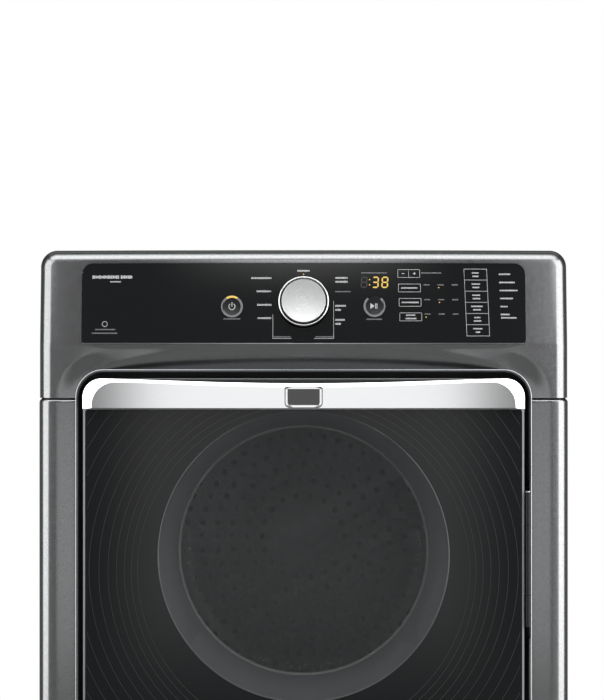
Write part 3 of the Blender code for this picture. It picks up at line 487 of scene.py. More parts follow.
# %% Chrome and brushed metal
def chromed_plastic():
    material, tree, where = start("chromed_plastic", "#e9eaeb", Metallic=1.0, Roughness=0.10)
    wave = add(tree, "ShaderNodeTexNoise", {"Vector": where}, Scale=14.0, Detail=1.0)
    steer(tree, wave.outputs["Fac"], roughness=(0.08, 0.14), bump=(0.05, 0.002))
    return material


def brushed(name, colour, roughness, stretch, rougher=0.09, smoother=0.07, relief=0.08):
    """Metal with a grain. Stretch says how often the grain repeats in a metre, along X, Y and Z."""
    material, tree, where = start(name, colour, Metallic=1.0, Roughness=roughness)
    along = add(tree, "ShaderNodeMapping", {"Vector": where})
    along.inputs["Scale"].default_value = stretch
    grain = add(tree, "ShaderNodeTexNoise", {"Vector": along.outputs[0]}, Scale=1.0, Detail=3.0)
    steer(tree, grain.outputs["Fac"], roughness=(roughness - smoother, roughness + rougher),
          bump=(relief, 0.0003))
    return material


# %% Spun aluminium
def spun_aluminium(centre, axis):
    material, tree, where = start("spun_aluminium", "#e0e1e1", Metallic=1.0, Roughness=0.30)
    outward = add(tree, "ShaderNodeVectorMath", {0: where}, operation="SUBTRACT")
    outward.inputs[1].default_value = centre
    across = add(tree, "ShaderNodeVectorMath", {0: outward.outputs[0]}, operation="CROSS_PRODUCT")
    across.inputs[1].default_value = axis
    radius = add(tree, "ShaderNodeVectorMath", {0: across.outputs[0]}, operation="LENGTH").outputs["Value"]
    # lathe rings every 0.4 mm, as coarse as they need to be to show
    rings = add(tree, "ShaderNodeTexNoise", {"W": radius}, noise_dimensions="1D", Scale=2500.0, Detail=2.0)
    steer(tree, rings.outputs["Fac"], roughness=(0.24, 0.36), bump=(0.12, 0.0003))
    return material


# %% [markdown]
# ### Plastics, glass, rubber and bare metals
# Moulded plastics have a fine spark-eroded texture. The door lens is a dark tinted plastic, and its
# window is thin enough to see the drum through. Galvanised sheet shows large zinc crystals, called
# spangle, and the stainless drum a faint rolled grain.

# %% Moulded plastic
def moulded(name, colour, roughness):
    material, tree, where = start(name, colour, Roughness=roughness, IOR=1.46)
    grain = add(tree, "ShaderNodeTexNoise", {"Vector": where}, Scale=900.0, Detail=2.0)
    steer(tree, grain.outputs["Fac"], bump=(0.10, 0.0003))
    tone = add(tree, "ShaderNodeTexNoise", {"Vector": where}, Scale=12.0, Detail=3.0)
    steer(tree, tone.outputs["Fac"], roughness=(roughness - 0.06, roughness + 0.06))
    return material


def tinted(name, colour, see_through, roughness=0.05, ior=1.5):
    """Smooth tinted plastic or glass. Its tint is an alpha, so light still reaches what is behind."""
    material, tree, where = start(name, colour, Roughness=roughness, IOR=ior, Alpha=1.0 - see_through)
    haze = add(tree, "ShaderNodeTexNoise", {"Vector": where}, Scale=7.0, Detail=2.0)
    steer(tree, haze.outputs["Fac"], roughness=(roughness * 0.7, roughness * 1.5))
    return material


# %% Zinc, rubber, felt and lamps
def galvanised():
    material, tree, where = start("galvanised_sheet", "#a9adb0", Metallic=1.0, Roughness=0.38)
    spangle = add(tree, "ShaderNodeTexVoronoi", {"Vector": where}, Scale=170.0)
    crystal = add(tree, "ShaderNodeRGBToBW", {"Color": spangle.outputs["Color"]}).outputs[0]
    steer(tree, crystal, ("#a2a6a9", "#b2b6b8"), (0.34, 0.42))
    return material


def felt_or_rubber(name, low, high, roughness, grain_size, relief):
    material, tree, where = start(name, low, Roughness=roughness)
    grain = add(tree, "ShaderNodeTexNoise", {"Vector": where}, Scale=1.0 / grain_size, Detail=4.0)
    steer(tree, grain.outputs["Fac"], (low, high), bump=(relief, 0.0005))
    return material


def circuit_board():
    material, tree, where = start("solder_masked_board", "#14532a", Roughness=0.35, Coat_Weight=0.3)
    tracks = add(tree, "ShaderNodeTexBrick", {"Vector": where}, Scale=180.0, Mortar_Size=0.03,
                 Color1=linear("#14532a"), Color2=linear("#175c30"), Mortar=linear("#2c7a45"))
    tree.links.new(tracks.outputs["Color"], tree.nodes["Principled BSDF"].inputs["Base Color"])
    return material


def lit(name, unlit, colour, strength):
    material, tree, where = start(name, unlit, Roughness=0.4, Emission_Strength=strength,
                                  Emission_Color=linear(colour))
    grain = add(tree, "ShaderNodeTexNoise", {"Vector": where}, Scale=400.0, Detail=1.0)
    steer(tree, grain.outputs["Fac"], roughness=(0.35, 0.45))
    return material


GRANITE = granite_enamel()
ACRYLIC = black_acrylic()
CHROME = chromed_plastic()
GRIP_CHROME = brushed("brushed_satin_chrome", "#e6e7e8", 0.14, (6.0, 900.0, 900.0), 0.04, 0.04, 0.06)
DIAL_Z = 0.8969
KNOB_CENTRE = on_face(0, DIAL_Z)
SPUN = spun_aluminium(KNOB_CENTRE, PANEL_NORMAL)
BLACK_ABS = moulded("moulded_black_abs", "#151516", 0.42)
LINER = moulded("dark_liner_plastic", "#3c3d3e", 0.40)
KEY_BLACK = moulded("satin_key_caps", "#101112", 0.22)
GREY_PP = moulded("grey_polypropylene", "#6d7073", 0.48)
DARK_GREY = moulded("dark_grey_window_ring", "#2c2e30", 0.30)
WHITE_PP = moulded("white_polypropylene", "#cfcfca", 0.45)
LENS = tinted("smoked_door_lens", "#101112", 0.0, 0.05, 1.36)
WINDOW = tinted("smoked_window_film", "#101113", 0.62, 0.05, 1.36)
CLEAR = tinted("tempered_glass", "#8e9391", 0.86, 0.03)
ZINC = galvanised()
STAINLESS = brushed("stainless_drum_steel", "#b9babb", 0.26, (700.0, 12.0, 700.0))
FASTENER_STEEL = brushed("zinc_plated_steel", "#b4b6b8", 0.30, (500.0, 500.0, 500.0))
CAST_IRON = brushed("painted_motor_iron", "#55595c", 0.45, (300.0, 300.0, 300.0))
BLACKENED = brushed("blackened_hinge_steel", "#2a2b2c", 0.42, (400.0, 400.0, 400.0))
BEAD_PLATING = brushed("bright_bead_plating", "#9c9ea0", 0.28, (300.0, 300.0, 300.0))
RUBBER = felt_or_rubber("black_rubber", "#111111", "#1b1b1b", 0.75, 0.0012, 0.25)
FELT = felt_or_rubber("pressed_wool_felt", "#8a8374", "#a59d8c", 0.95, 0.0010, 0.6)
BOARD = circuit_board()
PRINT = moulded("white_screen_print", "#929495", 0.55)
FAINT_PRINT = moulded("grey_screen_print", "#56585a", 0.55)
AMBER = lit("amber_display_segment", "#40300c", "#fbd468", 0.85)
DIM_SEGMENT = moulded("unlit_display_segment", "#1d1c19", 0.5)
print("finishes", len(bpy.data.materials))


# %% [markdown]
# ## Console casing
# The console is one moulding with generous rolled edges. A box is given those edges, hollowed, and then
# bent: it is sliced finely across, so the bow comes out smooth, and finely along the lip, where a scoop
# leads the fingers to the grip. The casing also dips softly towards the door opening.

# %% The dip round the opening
UPPER_CORNER, LOWER_CORNER = 0.036, 0.050   # corner radii of the door opening


def smooth_step(value):
    value = min(1.0, max(0.0, value))
    return value * value * (3 - 2 * value)


def opening_distance(x, z):
    """How far a point of the front is outside the door opening."""
    upper = z > (LIP_Z + OPENING_BOTTOM) / 2
    radius = UPPER_CORNER if upper else LOWER_CORNER
    across = abs(x) - OPENING_HALF
    up = z - LIP_Z if upper else OPENING_BOTTOM - z
    if across > -radius and up > -radius:
        return math.hypot(across + radius, up + radius) - radius
    return max(across, up)


def dip(co, depth=0.0045, reach=0.027):
    """The front sinks a little towards the opening, but only beside it, not over or under its middle."""
    side_start, side_fade = 0.235, 0.055
    beside = smooth_step((abs(co.x) - side_start) / side_fade)
    return depth * beside * (1 - smooth_step(opening_distance(co.x, co.z) / reach))


def slice_sides(piece, count, first=0.250, pitch=0.004):
    """Cut finely across both ends, where the dip bends the sheet."""
    slice_mesh(piece, X, [side * (first + pitch * step) for side in (-1, 1) for step in range(count)])


# %% Casing
def console_casing():
    beside_lid, skin, corner_roll, edge_roll = 0.0010, 0.0025, 0.0215, 0.015
    (_, _, low), (half, back, _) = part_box("console_fascia")
    half += beside_lid

    def shell(inset, bottom, rear):
        front, side, top = FACE_Y + inset, half - inset, HEIGHT - inset
        body = box("console", (-side, side), (front, rear), (bottom, top))
        round_edges(body, corner_roll - inset, 16, lambda a, b: near(a.z, top) and near(b.z, top)
                    and near(a.x, b.x) and near(abs(a.x), side))
        return round_edges(body, edge_roll - inset, 12, lambda a, b: near(a.y, front)
                           and near(b.y, front) and not (near(a.z, bottom) and near(b.z, bottom)))

    window = prism("window", [rounded(0.2874, (0.8444, 0.9479), 0.0034, 0.0144)], (-0.36, -0.345))
    door = prism("door", [rounded(OPENING_HALF, (0.70, LIP_Z), 0.01, UPPER_CORNER, 24)], (-0.36, -0.33))
    casing = cut(shell(0.0, low, back), shell(skin, low - 0.01, back + 0.01), window, door)
    slice_mesh(casing, Z, [low + 0.0045 * step for step in range(1, 9)])
    slice_mesh(casing, Z, [LIP_Z + 0.0002 + 0.0014 * step for step in range(26)])
    slice_sides(casing, 22)

    def shift(co):
        """The front follows the bow; under the panel it is tucked in, and below that it is scooped out."""
        below = max(0.0, LEAN_START - 0.001 - co.z)
        tuck_depth, tuck_height, tuck_fade = 0.0012, 0.003, 0.05
        tucked = tuck_depth * (1 - math.exp(-below / tuck_height))
        tucked *= smooth_step((OPENING_HALF - abs(co.x)) / tuck_fade)
        plain = co.y + bow(co.x) + lean(co.z) + dip(co) + tucked
        if co.y > FACE_Y + skin + 0.0003 or co.z > LEAN_START + 0.002:
            return plain - co.y
        scooped = LIP_Y + (co.y - FACE_Y) - SCOOP_SLOPE * max(0.0, co.z - LIP_Z)
        end_slope, blend = 0.6, 0.002
        scooped -= max(0.0, abs(co.x) - SCOOP_HALF) * end_slope
        return (plain + scooped + math.hypot(plain - scooped, blend)) / 2 - co.y

    casing = conform(casing, -0.322, -0.262, shift)
    return done(casing, "console_casing", GRANITE, "cabinet", ("console_fascia",), 40)


console_casing()

# %% [markdown]
# ## Lower front
# The lower front is a steel pressing with rolled vertical edges and a tight hem along its top and bottom.
# It is made and bent in the same way, so the seam between the two stays even all the way across.

# %% Lower front
def lower_front():
    sheet, shoulder, hem = 0.0015, 0.014, 0.005
    (_, _, low), (_, back, top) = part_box("front_panel")

    def shell(inset, bottom, lid, rear):
        front, half = FACE_Y + inset, HALF_WIDTH - inset
        body = box("panel", (-half, half), (front, rear), (bottom, lid))
        round_edges(body, shoulder - inset, 12, lambda a, b: near(a.y, front) and near(b.y, front)
                    and near(abs(a.x), half) and near(a.x, b.x))
        for level in (bottom, lid):
            round_edges(body, hem - inset, 6, lambda a, b: near(a.z, level) and near(b.z, level)
                        and not (near(a.y, rear) and near(b.y, rear)))
        return body

    opening = prism("opening", [rounded(OPENING_HALF, (OPENING_BOTTOM, 0.80), LOWER_CORNER, 0.002, 20)],
                    (-0.36, -0.315))
    panel = cut(shell(0.0, low, top, back), shell(sheet, low + sheet, top - sheet, back + 0.004), opening)
    slice_mesh(panel, Z, [OPENING_BOTTOM - 0.024 + 0.006 * step for step in range(16)])
    slice_sides(panel, 23)
    panel = conform(panel, -0.345, -0.3225, lambda co: bow(co.x) + dip(co))
    return done(panel, "lower_front_panel", GRANITE, "cabinet", ("front_panel",), 40)


lower_front()


# %% [markdown]
# ## Well of the door
# A dark liner closes the gap between the door and the cabinet. Its lip is a narrow bright bead that
# runs all round the opening, made here as a thin round wire that follows the front. A painted bead in
# the same way finishes the console's edge under the control panel.

# %% Liner and bead
def well_path(grow, pitch=0.012):
    """The outline of the opening, seen from the front, with its long sides divided finely."""
    half, low, high = OPENING_HALF + grow, OPENING_BOTTOM - grow, LIP_Z + grow
    outline = rounded(half, (low, high), LOWER_CORNER + grow, UPPER_CORNER + grow, 20)
    points = []
    for (x, z), (next_x, next_z) in zip(outline, outline[1:] + outline[:1]):
        count = max(1, int(math.hypot(next_x - x, next_z - z) / pitch))
        points += [(x + (next_x - x) * i / count, z + (next_z - z) * i / count) for i in range(count)]
    return points


def wire(name, points, radius, closed, material):
    """A thin round wire along a path."""
    curve = bpy.data.curves.new(name, "CURVE")
    curve.dimensions, curve.use_fill_caps = "3D", not closed
    curve.bevel_depth, curve.bevel_resolution = radius, 3
    spline = curve.splines.new("POLY")
    spline.points.add(len(points) - 1)
    for point, place in zip(spline.points, points):
        point.co = (*place, 1)
    spline.use_cyclic_u = closed
    return done(bake(adopt(name, curve)), name, material, "cabinet")


BESIDE_GRIP = 0.70                    # above this the bead follows the scoop, not the bow


def opening_bead():
    places = []
    for x, z in well_path(-0.0002):
        lip = bow(max(abs(x), SCOOP_HALF)) if z > BESIDE_GRIP else bow(x)
        places.append((x, FACE_Y - 0.0004 + lip + dip(Vector((x, 0, z))) * 0.8, z))
    return wire("opening_bead", places, 0.0009, True, BEAD_PLATING)


opening_bead()
lip_places = [0.0143 * step for step in range(-20, 21)]
wire("console_lip_bead", [(x, FACE_Y + 0.0006 + bow(x), LEAN_START + 0.0004) for x in lip_places],
     0.0013, False, GRANITE)
smooth_copy("door_surround", LINER, "cabinet", 40)


# %% [markdown]
# ## Control panel
# One sheet of gloss black acrylic lies flush in the console and is pierced for the dial and the keys.
# Because it is one smooth curve, a single soft light draws a clean glow across its top.

# %% Overlay
ROUND_KEYS = {"power_key": (-0.0925, 0.8916), "start_key": (0.0914, 0.8922)}
ROUND_KEY_R = 0.0128
SMALL_KEYS = {}
for row, key in enumerate(("time_rocker", "temperature_key", "dryness_key", "wrinkle_key")):
    SMALL_KEYS[key] = (0.1359 + 0.0008 * row, 0.9344 - 0.0187 * row, 0.0296, 0.0114)
for row in range(6):
    SMALL_KEYS[f"option_key_{row + 1}"] = (0.2223 + 0.0006 * row, 0.9331 - 0.01446 * row, 0.0284, 0.0132)


def key_loop(x, z, width, height, grow=0.0):
    corner = 0.0012 + grow
    return rounded(width / 2 + grow, (z - height / 2 - grow, z + height / 2 + grow), corner, corner, 4, x)


def overlay():
    gap = 0.0003
    loops = [rounded(0.287, (0.8448, 0.9475), 0.003, 0.014, 16), circle((0, DIAL_Z), 0.0334)]
    loops += [circle(place, ROUND_KEY_R + gap, 64) for place in ROUND_KEYS.values()]
    loops += [key_loop(*key, gap) for key in SMALL_KEYS.values()]
    panel = conform(prism("overlay", loops, (PANEL_FRONT, PANEL_FRONT + 0.0025)))
    done(panel, "control_panel_overlay", ACRYLIC, "cabinet", ("control_overlay",), 30)
    follow_bow(panel)


overlay()

# %% Key caps
for key, (x, z) in ROUND_KEYS.items():
    half_section = [(0, -0.0042), (ROUND_KEY_R, -0.0042), (ROUND_KEY_R, 0), (ROUND_KEY_R - 0.0006, 0.0006),
                    (0.0085, 0.0004), (0, 0.0002)]
    cap = turned(key, half_section, on_face(x, z), PANEL_NORMAL, 64, closed=False)
    done(cap, key + "_cap", KEY_BLACK, key, (key,))
for key, place in SMALL_KEYS.items():
    cap = conform(soften(prism(key, [key_loop(*place)], (-0.3518, -0.3478)), 0.0002))
    follow_bow(done(cap, key + "_cap", ACRYLIC, key, (key,)))


# %% [markdown]
# ## Dial
# The dial is a spun aluminium cap in a chromed bezel. The cap's face is very slightly dished, which is
# why it goes from grey at its top to nearly white at its bottom edge. Both are turned profiles.

# %% Dial and bezel
def dial():
    rim, height, dish, stem, rings = 0.0284, 0.0118, 0.0011, 0.003, 30
    face = [(rim * 0.984 * step / rings, height - dish * (1 - (step / rings) ** 2))
            for step in range(rings + 1)]
    profile = [(0, -0.022), (stem, -0.022), (stem, -0.001), (rim - 0.0004, -0.001), (rim, height - 0.002),
               (rim - 0.0001, height - 0.0004)] + face[::-1]
    cap = turned("dial", profile, KNOB_CENTRE, PANEL_NORMAL, 128, closed=False)
    done(cap, "dial_cap", SPUN, "knob", ("knob_cap",), 20)
    inner, outer, lip_radius = 0.0290, 0.0324, 0.0007
    lip = arc((outer - lip_radius, 0.0088), lip_radius, 0, 180, 12)
    profile = [(inner, -0.004), (outer, -0.004), *lip, (inner, 0.0066)]
    ring = turned("bezel", profile, KNOB_CENTRE, PANEL_NORMAL, 128)
    done(ring, "dial_bezel", CHROME, "cabinet", ("knob_ring",), 50)


dial()


# %% [markdown]
# ## Grip
# The grip is a chromed bar across the top of the door. Its flat face is brushed; bright bevels frame it,
# wide at the ends and narrow along the top, whose edge dips in the middle. A loft between an outer and an
# inner outline gives the bevels; behind it a black channel takes the fingers.

# %% Grip
DOOR_HALF, DOOR_TOP, GRIP_LOW = 0.285, 0.7985, 0.7595
GRIP_FACE, GRIP_BACK, GRIP_PLATE = -0.370, -0.3543, 0.0045
POCKET_HALF, GRIP_DIP = 0.262, 0.006


def grip_outline(side, top, bottom, radius):
    """Grip outline, inset by different amounts at its sides, top and bottom."""
    half, high, low = DOOR_HALF - side, DOOR_TOP - top, GRIP_LOW + bottom
    flat, steps, corner_steps = half - radius, 40, 24
    points = [(-half, low), (half, low)]
    points += arc((flat, high - radius), radius, 0, 90, corner_steps)
    for step in range(1, steps):
        x = flat * (1 - 2 * step / steps)
        points.append((x, high - GRIP_DIP * (1 - (x / flat) ** 2) ** 1.5))
    return points + arc((-flat, high - radius), radius, 90, 180, corner_steps)


def loft(name, sections):
    """A closed solid through outlines of equal length, each at its own depth."""
    work = bmesh.new()
    rings = [[work.verts.new((x, y, z)) for x, z in outline] for y, outline in sections]
    for front, back in zip(rings, rings[1:]):
        for index in range(len(front)):
            after = (index + 1) % len(front)
            work.faces.new((front[index], front[after], back[after], back[index]))
    work.faces.new(rings[0])
    work.faces.new(rings[-1])
    bmesh.ops.recalc_face_normals(work, faces=work.faces)
    mesh = bpy.data.meshes.new(name)
    work.to_mesh(mesh)
    work.free()
    return adopt(name, mesh)


def grip():
    outer, inner = grip_outline(0.0, 0.0, 0.0, 0.024), grip_outline(0.0115, 0.0046, 0.0014, 0.030)
    trim = grip_outline(0.0004, 0.0004, 0.0004, 0.024)
    bevel_depth, steps = 0.0038, 5
    sections = []
    for step in range(steps + 1):
        outline = [tuple(Vector(a).lerp(Vector(b), step / steps)) for a, b in zip(inner, trim)]
        sections.append((GRIP_FACE + bevel_depth * step / steps, outline))
    sections += [(GRIP_FACE + depth, outer) for depth in (bevel_depth + 0.0003, GRIP_PLATE)]
    bar = conform(loft("grip", sections))
    done(bar, "grip_plate", CHROME, "door", ("door_handle",), 12)
    bar.data.materials.append(GRIP_CHROME)
    level = [near(vertex.co.y, GRIP_FACE + front_shift(vertex.co)) for vertex in bar.data.vertices]
    for face in bar.data.polygons:
        face.material_index = int(all(level[corner] for corner in face.vertices))
    follow_bow(bar)
    inside = 0.0005
    outline = rounded(DOOR_HALF - inside, (GRIP_LOW + inside, DOOR_TOP - inside), 0.002, 0.0235, 16)
    body = prism("channel", [outline], (GRIP_FACE + GRIP_PLATE + 0.0001, GRIP_BACK))
    pocket = box("pocket", (-POCKET_HALF, POCKET_HALF), (-0.3658, GRIP_BACK - 0.0017), (0.763, 0.82))
    done(conform(cut(body, pocket)), "grip_channel", BLACK_ABS, "door", ("door_handle",))


grip()

# %% [markdown]
# ## Plaque
# A small framed plaque sits in the middle of the grip: a chromed rim round a dark field, left blank. Under
# the rim lies a black plate a little wider than it: painted shade for the shadow gap round the rim.

# %% Plaque
def plaque_part(name, loops, stands_out):
    """A part of the plaque, let 0.1 mm into the grip's face."""
    return prism(name, loops, (GRIP_FACE - stands_out, GRIP_FACE + 0.0001))


# a black plate 0.8 mm wider than the rim: painted shade that draws the shadow gap round the rim
seat = plaque_part("seat", [rounded(0.0244, (0.7611, 0.7889), 0.0068, 0.0038, 8)], 0.0004)
follow_bow(done(conform(seat), "plaque_painted_shadow_gap", BLACK_ABS, "door"))
rim = plaque_part("rim", [rounded(0.0236, (0.7619, 0.7881), 0.006, 0.003, 8),
                          rounded(0.0206, (0.7647, 0.7855), 0.0042, 0.0014, 8)], 0.0022)
done(conform(soften(rim, 0.0007)), "plaque_rim", CHROME, "door")
field = plaque_part("field", [rounded(0.0214, (0.7639, 0.7863), 0.0044, 0.0016, 8)], 0.0009)
follow_bow(done(conform(field), "plaque_field", ACRYLIC, "door"))


# %% [markdown]
# ## Door
# The door's front is one sheet of smoked plastic in a grey frame. Its middle is left clear as a round
# window, so the funnel behind it and the drum show faintly. The sheet is opaque where it is backed.

# %% Smoked lens and window
WINDOW_CENTRE, WINDOW_R = Vector((0, 0, 0.570)), 0.1872


def smoked_door():
    sheet = [rounded(0.2822, (0.3413, 0.7585), 0.0425, 0.003, 20),
             circle((0, WINDOW_CENTRE.z), WINDOW_R, 128)]
    lens = conform(soften(prism("lens", sheet, (-0.3578, -0.3546)), 0.0005))
    follow_bow(done(lens, "smoked_lens_surround", LENS, "door", ("door_lens",)))
    pane = prism("pane", [circle((0, WINDOW_CENTRE.z), WINDOW_R - 0.0001, 128)], (-0.3576, -0.3548))
    follow_bow(done(conform(pane), "window_pane", WINDOW, "door", ("door_lens",)))
    ring = turned("ring", [(WINDOW_R + x, y) for x, y in circle((0.0002, 0.3576), 0.0009, 10)],
                  WINDOW_CENTRE, -Y, 128)
    done(conform(ring), "window_edge_ring", DARK_GREY, "door")
    smooth_copy("door_frame", GREY_PP, "door", 40)


smoked_door()


# %% [markdown]
# ## Growing repeated shapes
# Louvres, screws, perforations and the small print are one shape repeated by a rule. A Geometry Nodes
# tree says the rule once, its named inputs give the sizes, and the result is baked to a plain mesh.

# %% Trees and how to run them
FACING_FRONT = (math.radians(90), 0, 0)


def new_tree(name, **inputs):
    tree = bpy.data.node_groups.new(name, "GeometryNodeTree")
    tree.interface.new_socket("Geometry", in_out="OUTPUT", socket_type="NodeSocketGeometry")
    tree.interface.new_socket("Geometry", in_out="INPUT", socket_type="NodeSocketGeometry")
    for label, kind in inputs.items():
        tree.interface.new_socket(label, in_out="INPUT", socket_type="NodeSocket" + kind)
    return tree, add(tree, "NodeGroupInput").outputs


def close_tree(tree, geometry, material):
    plain = add(tree, "GeometryNodeRealizeInstances", {0: geometry})
    painted = add(tree, "GeometryNodeSetMaterial", {"Geometry": plain.outputs[0], "Material": material})
    add(tree, "NodeGroupOutput", {0: painted.outputs[0]})


def grow(name, tree, places=(), **values):
    """Run a tree on a set of points and keep its result as a plain mesh."""
    mesh = bpy.data.meshes.new(name)
    mesh.from_pydata(places, [], [])
    piece = adopt(name, mesh)
    modifier = piece.modifiers.new("Grow", "NODES")
    modifier.node_group = tree
    for socket in tree.interface.items_tree:
        if socket.in_out == "INPUT" and socket.name in values:
            modifier[socket.identifier] = values[socket.name]
    return bake(piece)


# %% Louvres
def louvre_tree():
    tree, given = new_tree("louvres", Rings="Int", Radius="Float", Pitch="Float", Growth="Float",
                           Width="Float", Height="Float", Material="Material")
    number = add(tree, "GeometryNodeInputIndex").outputs[0]
    grown = add(tree, "ShaderNodeMath", {0: number, 1: given["Growth"], 2: given["Pitch"]},
                operation="MULTIPLY_ADD")
    radius = add(tree, "ShaderNodeMath", {0: number, 1: grown.outputs[0], 2: given["Radius"]},
                 operation="MULTIPLY_ADD")
    points = add(tree, "GeometryNodePoints", {"Count": given["Rings"]})
    ring = add(tree, "GeometryNodeCurvePrimitiveCircle", Resolution=240, Radius=1.0)
    rings = add(tree, "GeometryNodeInstanceOnPoints", {
        "Points": points.outputs[0], "Instance": ring.outputs[0], "Scale": radius.outputs[0]},
        Rotation=FACING_FRONT)
    plain = add(tree, "GeometryNodeRealizeInstances", {0: rings.outputs[0]})
    section = add(tree, "GeometryNodeCurvePrimitiveQuadrilateral", {
        "Width": given["Width"], "Height": given["Height"]})
    ribs = add(tree, "GeometryNodeCurveToMesh", {
        "Curve": plain.outputs[0], "Profile Curve": section.outputs[0]})
    close_tree(tree, ribs.outputs[0], given["Material"])
    return tree


def louvres():
    ribs = grow("louvres", louvre_tree(), Rings=14, Radius=0.214, Pitch=0.0078, Growth=0.00045,
                Width=0.0010, Height=0.0009, Material=RIB)
    ribs.data.transform(Matrix.Translation((0, 0, LOUVRE_CENTRE)))
    inside = prism("inside", [rounded(0.2795, (0.344, 0.7585), 0.040, 0.002)], (-0.01, 0.01))
    ribs = combine(ribs, [inside], "INTERSECT")
    ribs.data.transform(Matrix.Translation((0, LENS_FRONT + 0.0001, 0)))
    done(conform(ribs), "door_louvres", RIB, "door", angle=20)


LOUVRE_CENTRE, LENS_FRONT = 0.5506, -0.3578
RIB = tinted("louvre_ribs", "#1f2021", 0.0, 0.20, 1.42)
louvres()


# %% [markdown]
# ## Printing on the panel
# White and grey ink is screen-printed on the acrylic. Fine outlines, brackets and pictograms are thin
# solids that follow the panel. Words are left out: each is a row of plain blocks of seeded heights.

# %% Shapes of the print
# fronts and backs of the ink before the bow: on the panel, on the flat keys and on the round keys
ON_PANEL = (FACE_Y + 0.00038, FACE_Y + 0.00052)
ON_KEY = (FACE_Y + 0.0001, FACE_Y + 0.0003)
ON_ROUND_KEY = (FACE_Y - 0.0001, FACE_Y + 0.0003)
STROKE = 0.0005


def plate(left, low, right, high):
    return [(left, low), (right, low), (right, high), (left, high)]


def sector(centre, inner, outer, begin, end):
    return arc(centre, outer, begin, end, 40) + arc(centre, inner, begin, end, 40)[::-1]


def frame_round(x, z, width, height, grow, stroke):
    return [key_loop(x, z, width, height, grow + side * stroke / 2) for side in (1, -1)]


def ink(name, loops, material, body="cabinet", ends=ON_PANEL):
    printed = conform(prism(name, loops, ends))
    return done(printed, name, material, body, angle=60)


def text_tree():
    """Blocks that stand for letters, each a low or a tall one."""
    tree, given = new_tree("blocks", Wide="Float", Thick="Float", Low="Float", Tall="Float", Seed="Int",
                           Material="Material")
    block = add(tree, "GeometryNodeMeshCube", Size=(1, 1, 1))
    tall = add(tree, "FunctionNodeRandomValue", {
        "Min": given["Low"], "Max": given["Tall"], "Seed": given["Seed"]}, data_type="FLOAT")
    size = add(tree, "ShaderNodeCombineXYZ", {"X": given["Wide"], "Y": given["Thick"], "Z": tall.outputs[1]})
    blocks = add(tree, "GeometryNodeInstanceOnPoints", {
        "Points": given["Geometry"], "Instance": block.outputs[0], "Scale": size.outputs[0]})
    close_tree(tree, blocks.outputs[0], given["Material"])
    return tree


TEXT = text_tree()


def words(name, runs, material, body="cabinet", scale=1.0, front=FACE_Y + 0.00045):
    """Rows of blocks from runs of (left end, height, length)."""
    pitch = 0.00125 * scale
    places = [(left + pitch * (number + 0.5), front, z) for left, z, length in runs
              for number in range(max(1, round(length / pitch)))]
    piece = grow(name, TEXT, places, Wide=0.00095 * scale, Thick=0.00014, Low=0.0017 * scale,
                 Tall=0.0027 * scale, Seed=7, Material=material)
    return done(conform(piece), name, material, body, angle=60)


# %% Rings and pictograms
power_place, start_place = ROUND_KEYS["power_key"], ROUND_KEYS["start_key"]
RING_IN, RING_OUT, RING_ENDS = 0.0113, 0.0141, (FACE_Y - 0.0006, FACE_Y - 0.00035)
ink("power_key_ring", [circle(power_place, radius, 64) for radius in (RING_OUT, RING_IN)], FAINT_PRINT,
    ends=RING_ENDS)
ink("start_key_ring", [sector(start_place, RING_IN, RING_OUT, 130, 410)], FAINT_PRINT, ends=RING_ENDS)
ink("power_light_arc", [sector(power_place, RING_IN + 0.0001, RING_OUT - 0.0001, 57, 123)], AMBER,
    ends=(FACE_Y - 0.0008, FACE_Y - 0.00055))
x, z = power_place
pictogram = [sector(power_place, 0.0035, 0.0044, 125, 415), plate(x - 0.0005, z, x + 0.0005, z + 0.0056)]
ink("power_pictogram", pictogram, PRINT, "power_key", ON_ROUND_KEY)
x, z = start_place
pictogram = [[(x - 0.0052, z - 0.0038), (x + 0.0002, z), (x - 0.0052, z + 0.0038)]]
pictogram += [plate(x + step, z - 0.0035, x + step + 0.0009, z + 0.0035) for step in (0.0010, 0.0028)]
ink("start_pictogram", pictogram, PRINT, "start_key", ON_ROUND_KEY)

# %% Frames round the keys, brackets and marks
for key, (x, z, width, height) in SMALL_KEYS.items():
    if not key.startswith("option"):
        ink(key + "_frame", frame_round(x, z, width, height, -0.0006, STROKE), PRINT, key, ON_KEY)


def leaning_frame(left, right, low, high, inset):
    """The frame round the option keys leans out to the right at its foot."""
    foot = 0.0032
    return [(left + inset, high - inset), (right - inset, high - inset),
            (right + foot - inset, low + inset), (left + foot + inset, low + inset)]


def bracket(outer, inner, top, low=0.8501):
    """A line down from top and then across towards the middle of the panel."""
    thick = math.copysign(STROKE, outer)
    return [(outer, top), (outer, low), (inner, low), (inner, low + STROKE),
            (outer - thick, low + STROKE), (outer - thick, top)]


option_left, option_right = 0.2074, 0.2374
lines = [leaning_frame(option_left, option_right, 0.8534, 0.9406, inset) for inset in (0, STROKE)]
lines += [bracket(-0.0399, -0.0157, 0.8815), bracket(0.0389, 0.0135, 0.8990)]
lines += [circle((-0.2572, 0.8690), radius, 40) for radius in (0.0036, 0.0030)]
ink("panel_lines", lines, PRINT)
dividers = [plate(option_left + 0.0008 + 0.0006 * row, z, option_right - 0.0002 + 0.0006 * row, z + STROKE)
            for row, z in enumerate((0.9259, 0.9114, 0.8970, 0.8825, 0.8680))]
ink("option_dividers", dividers, PRINT)

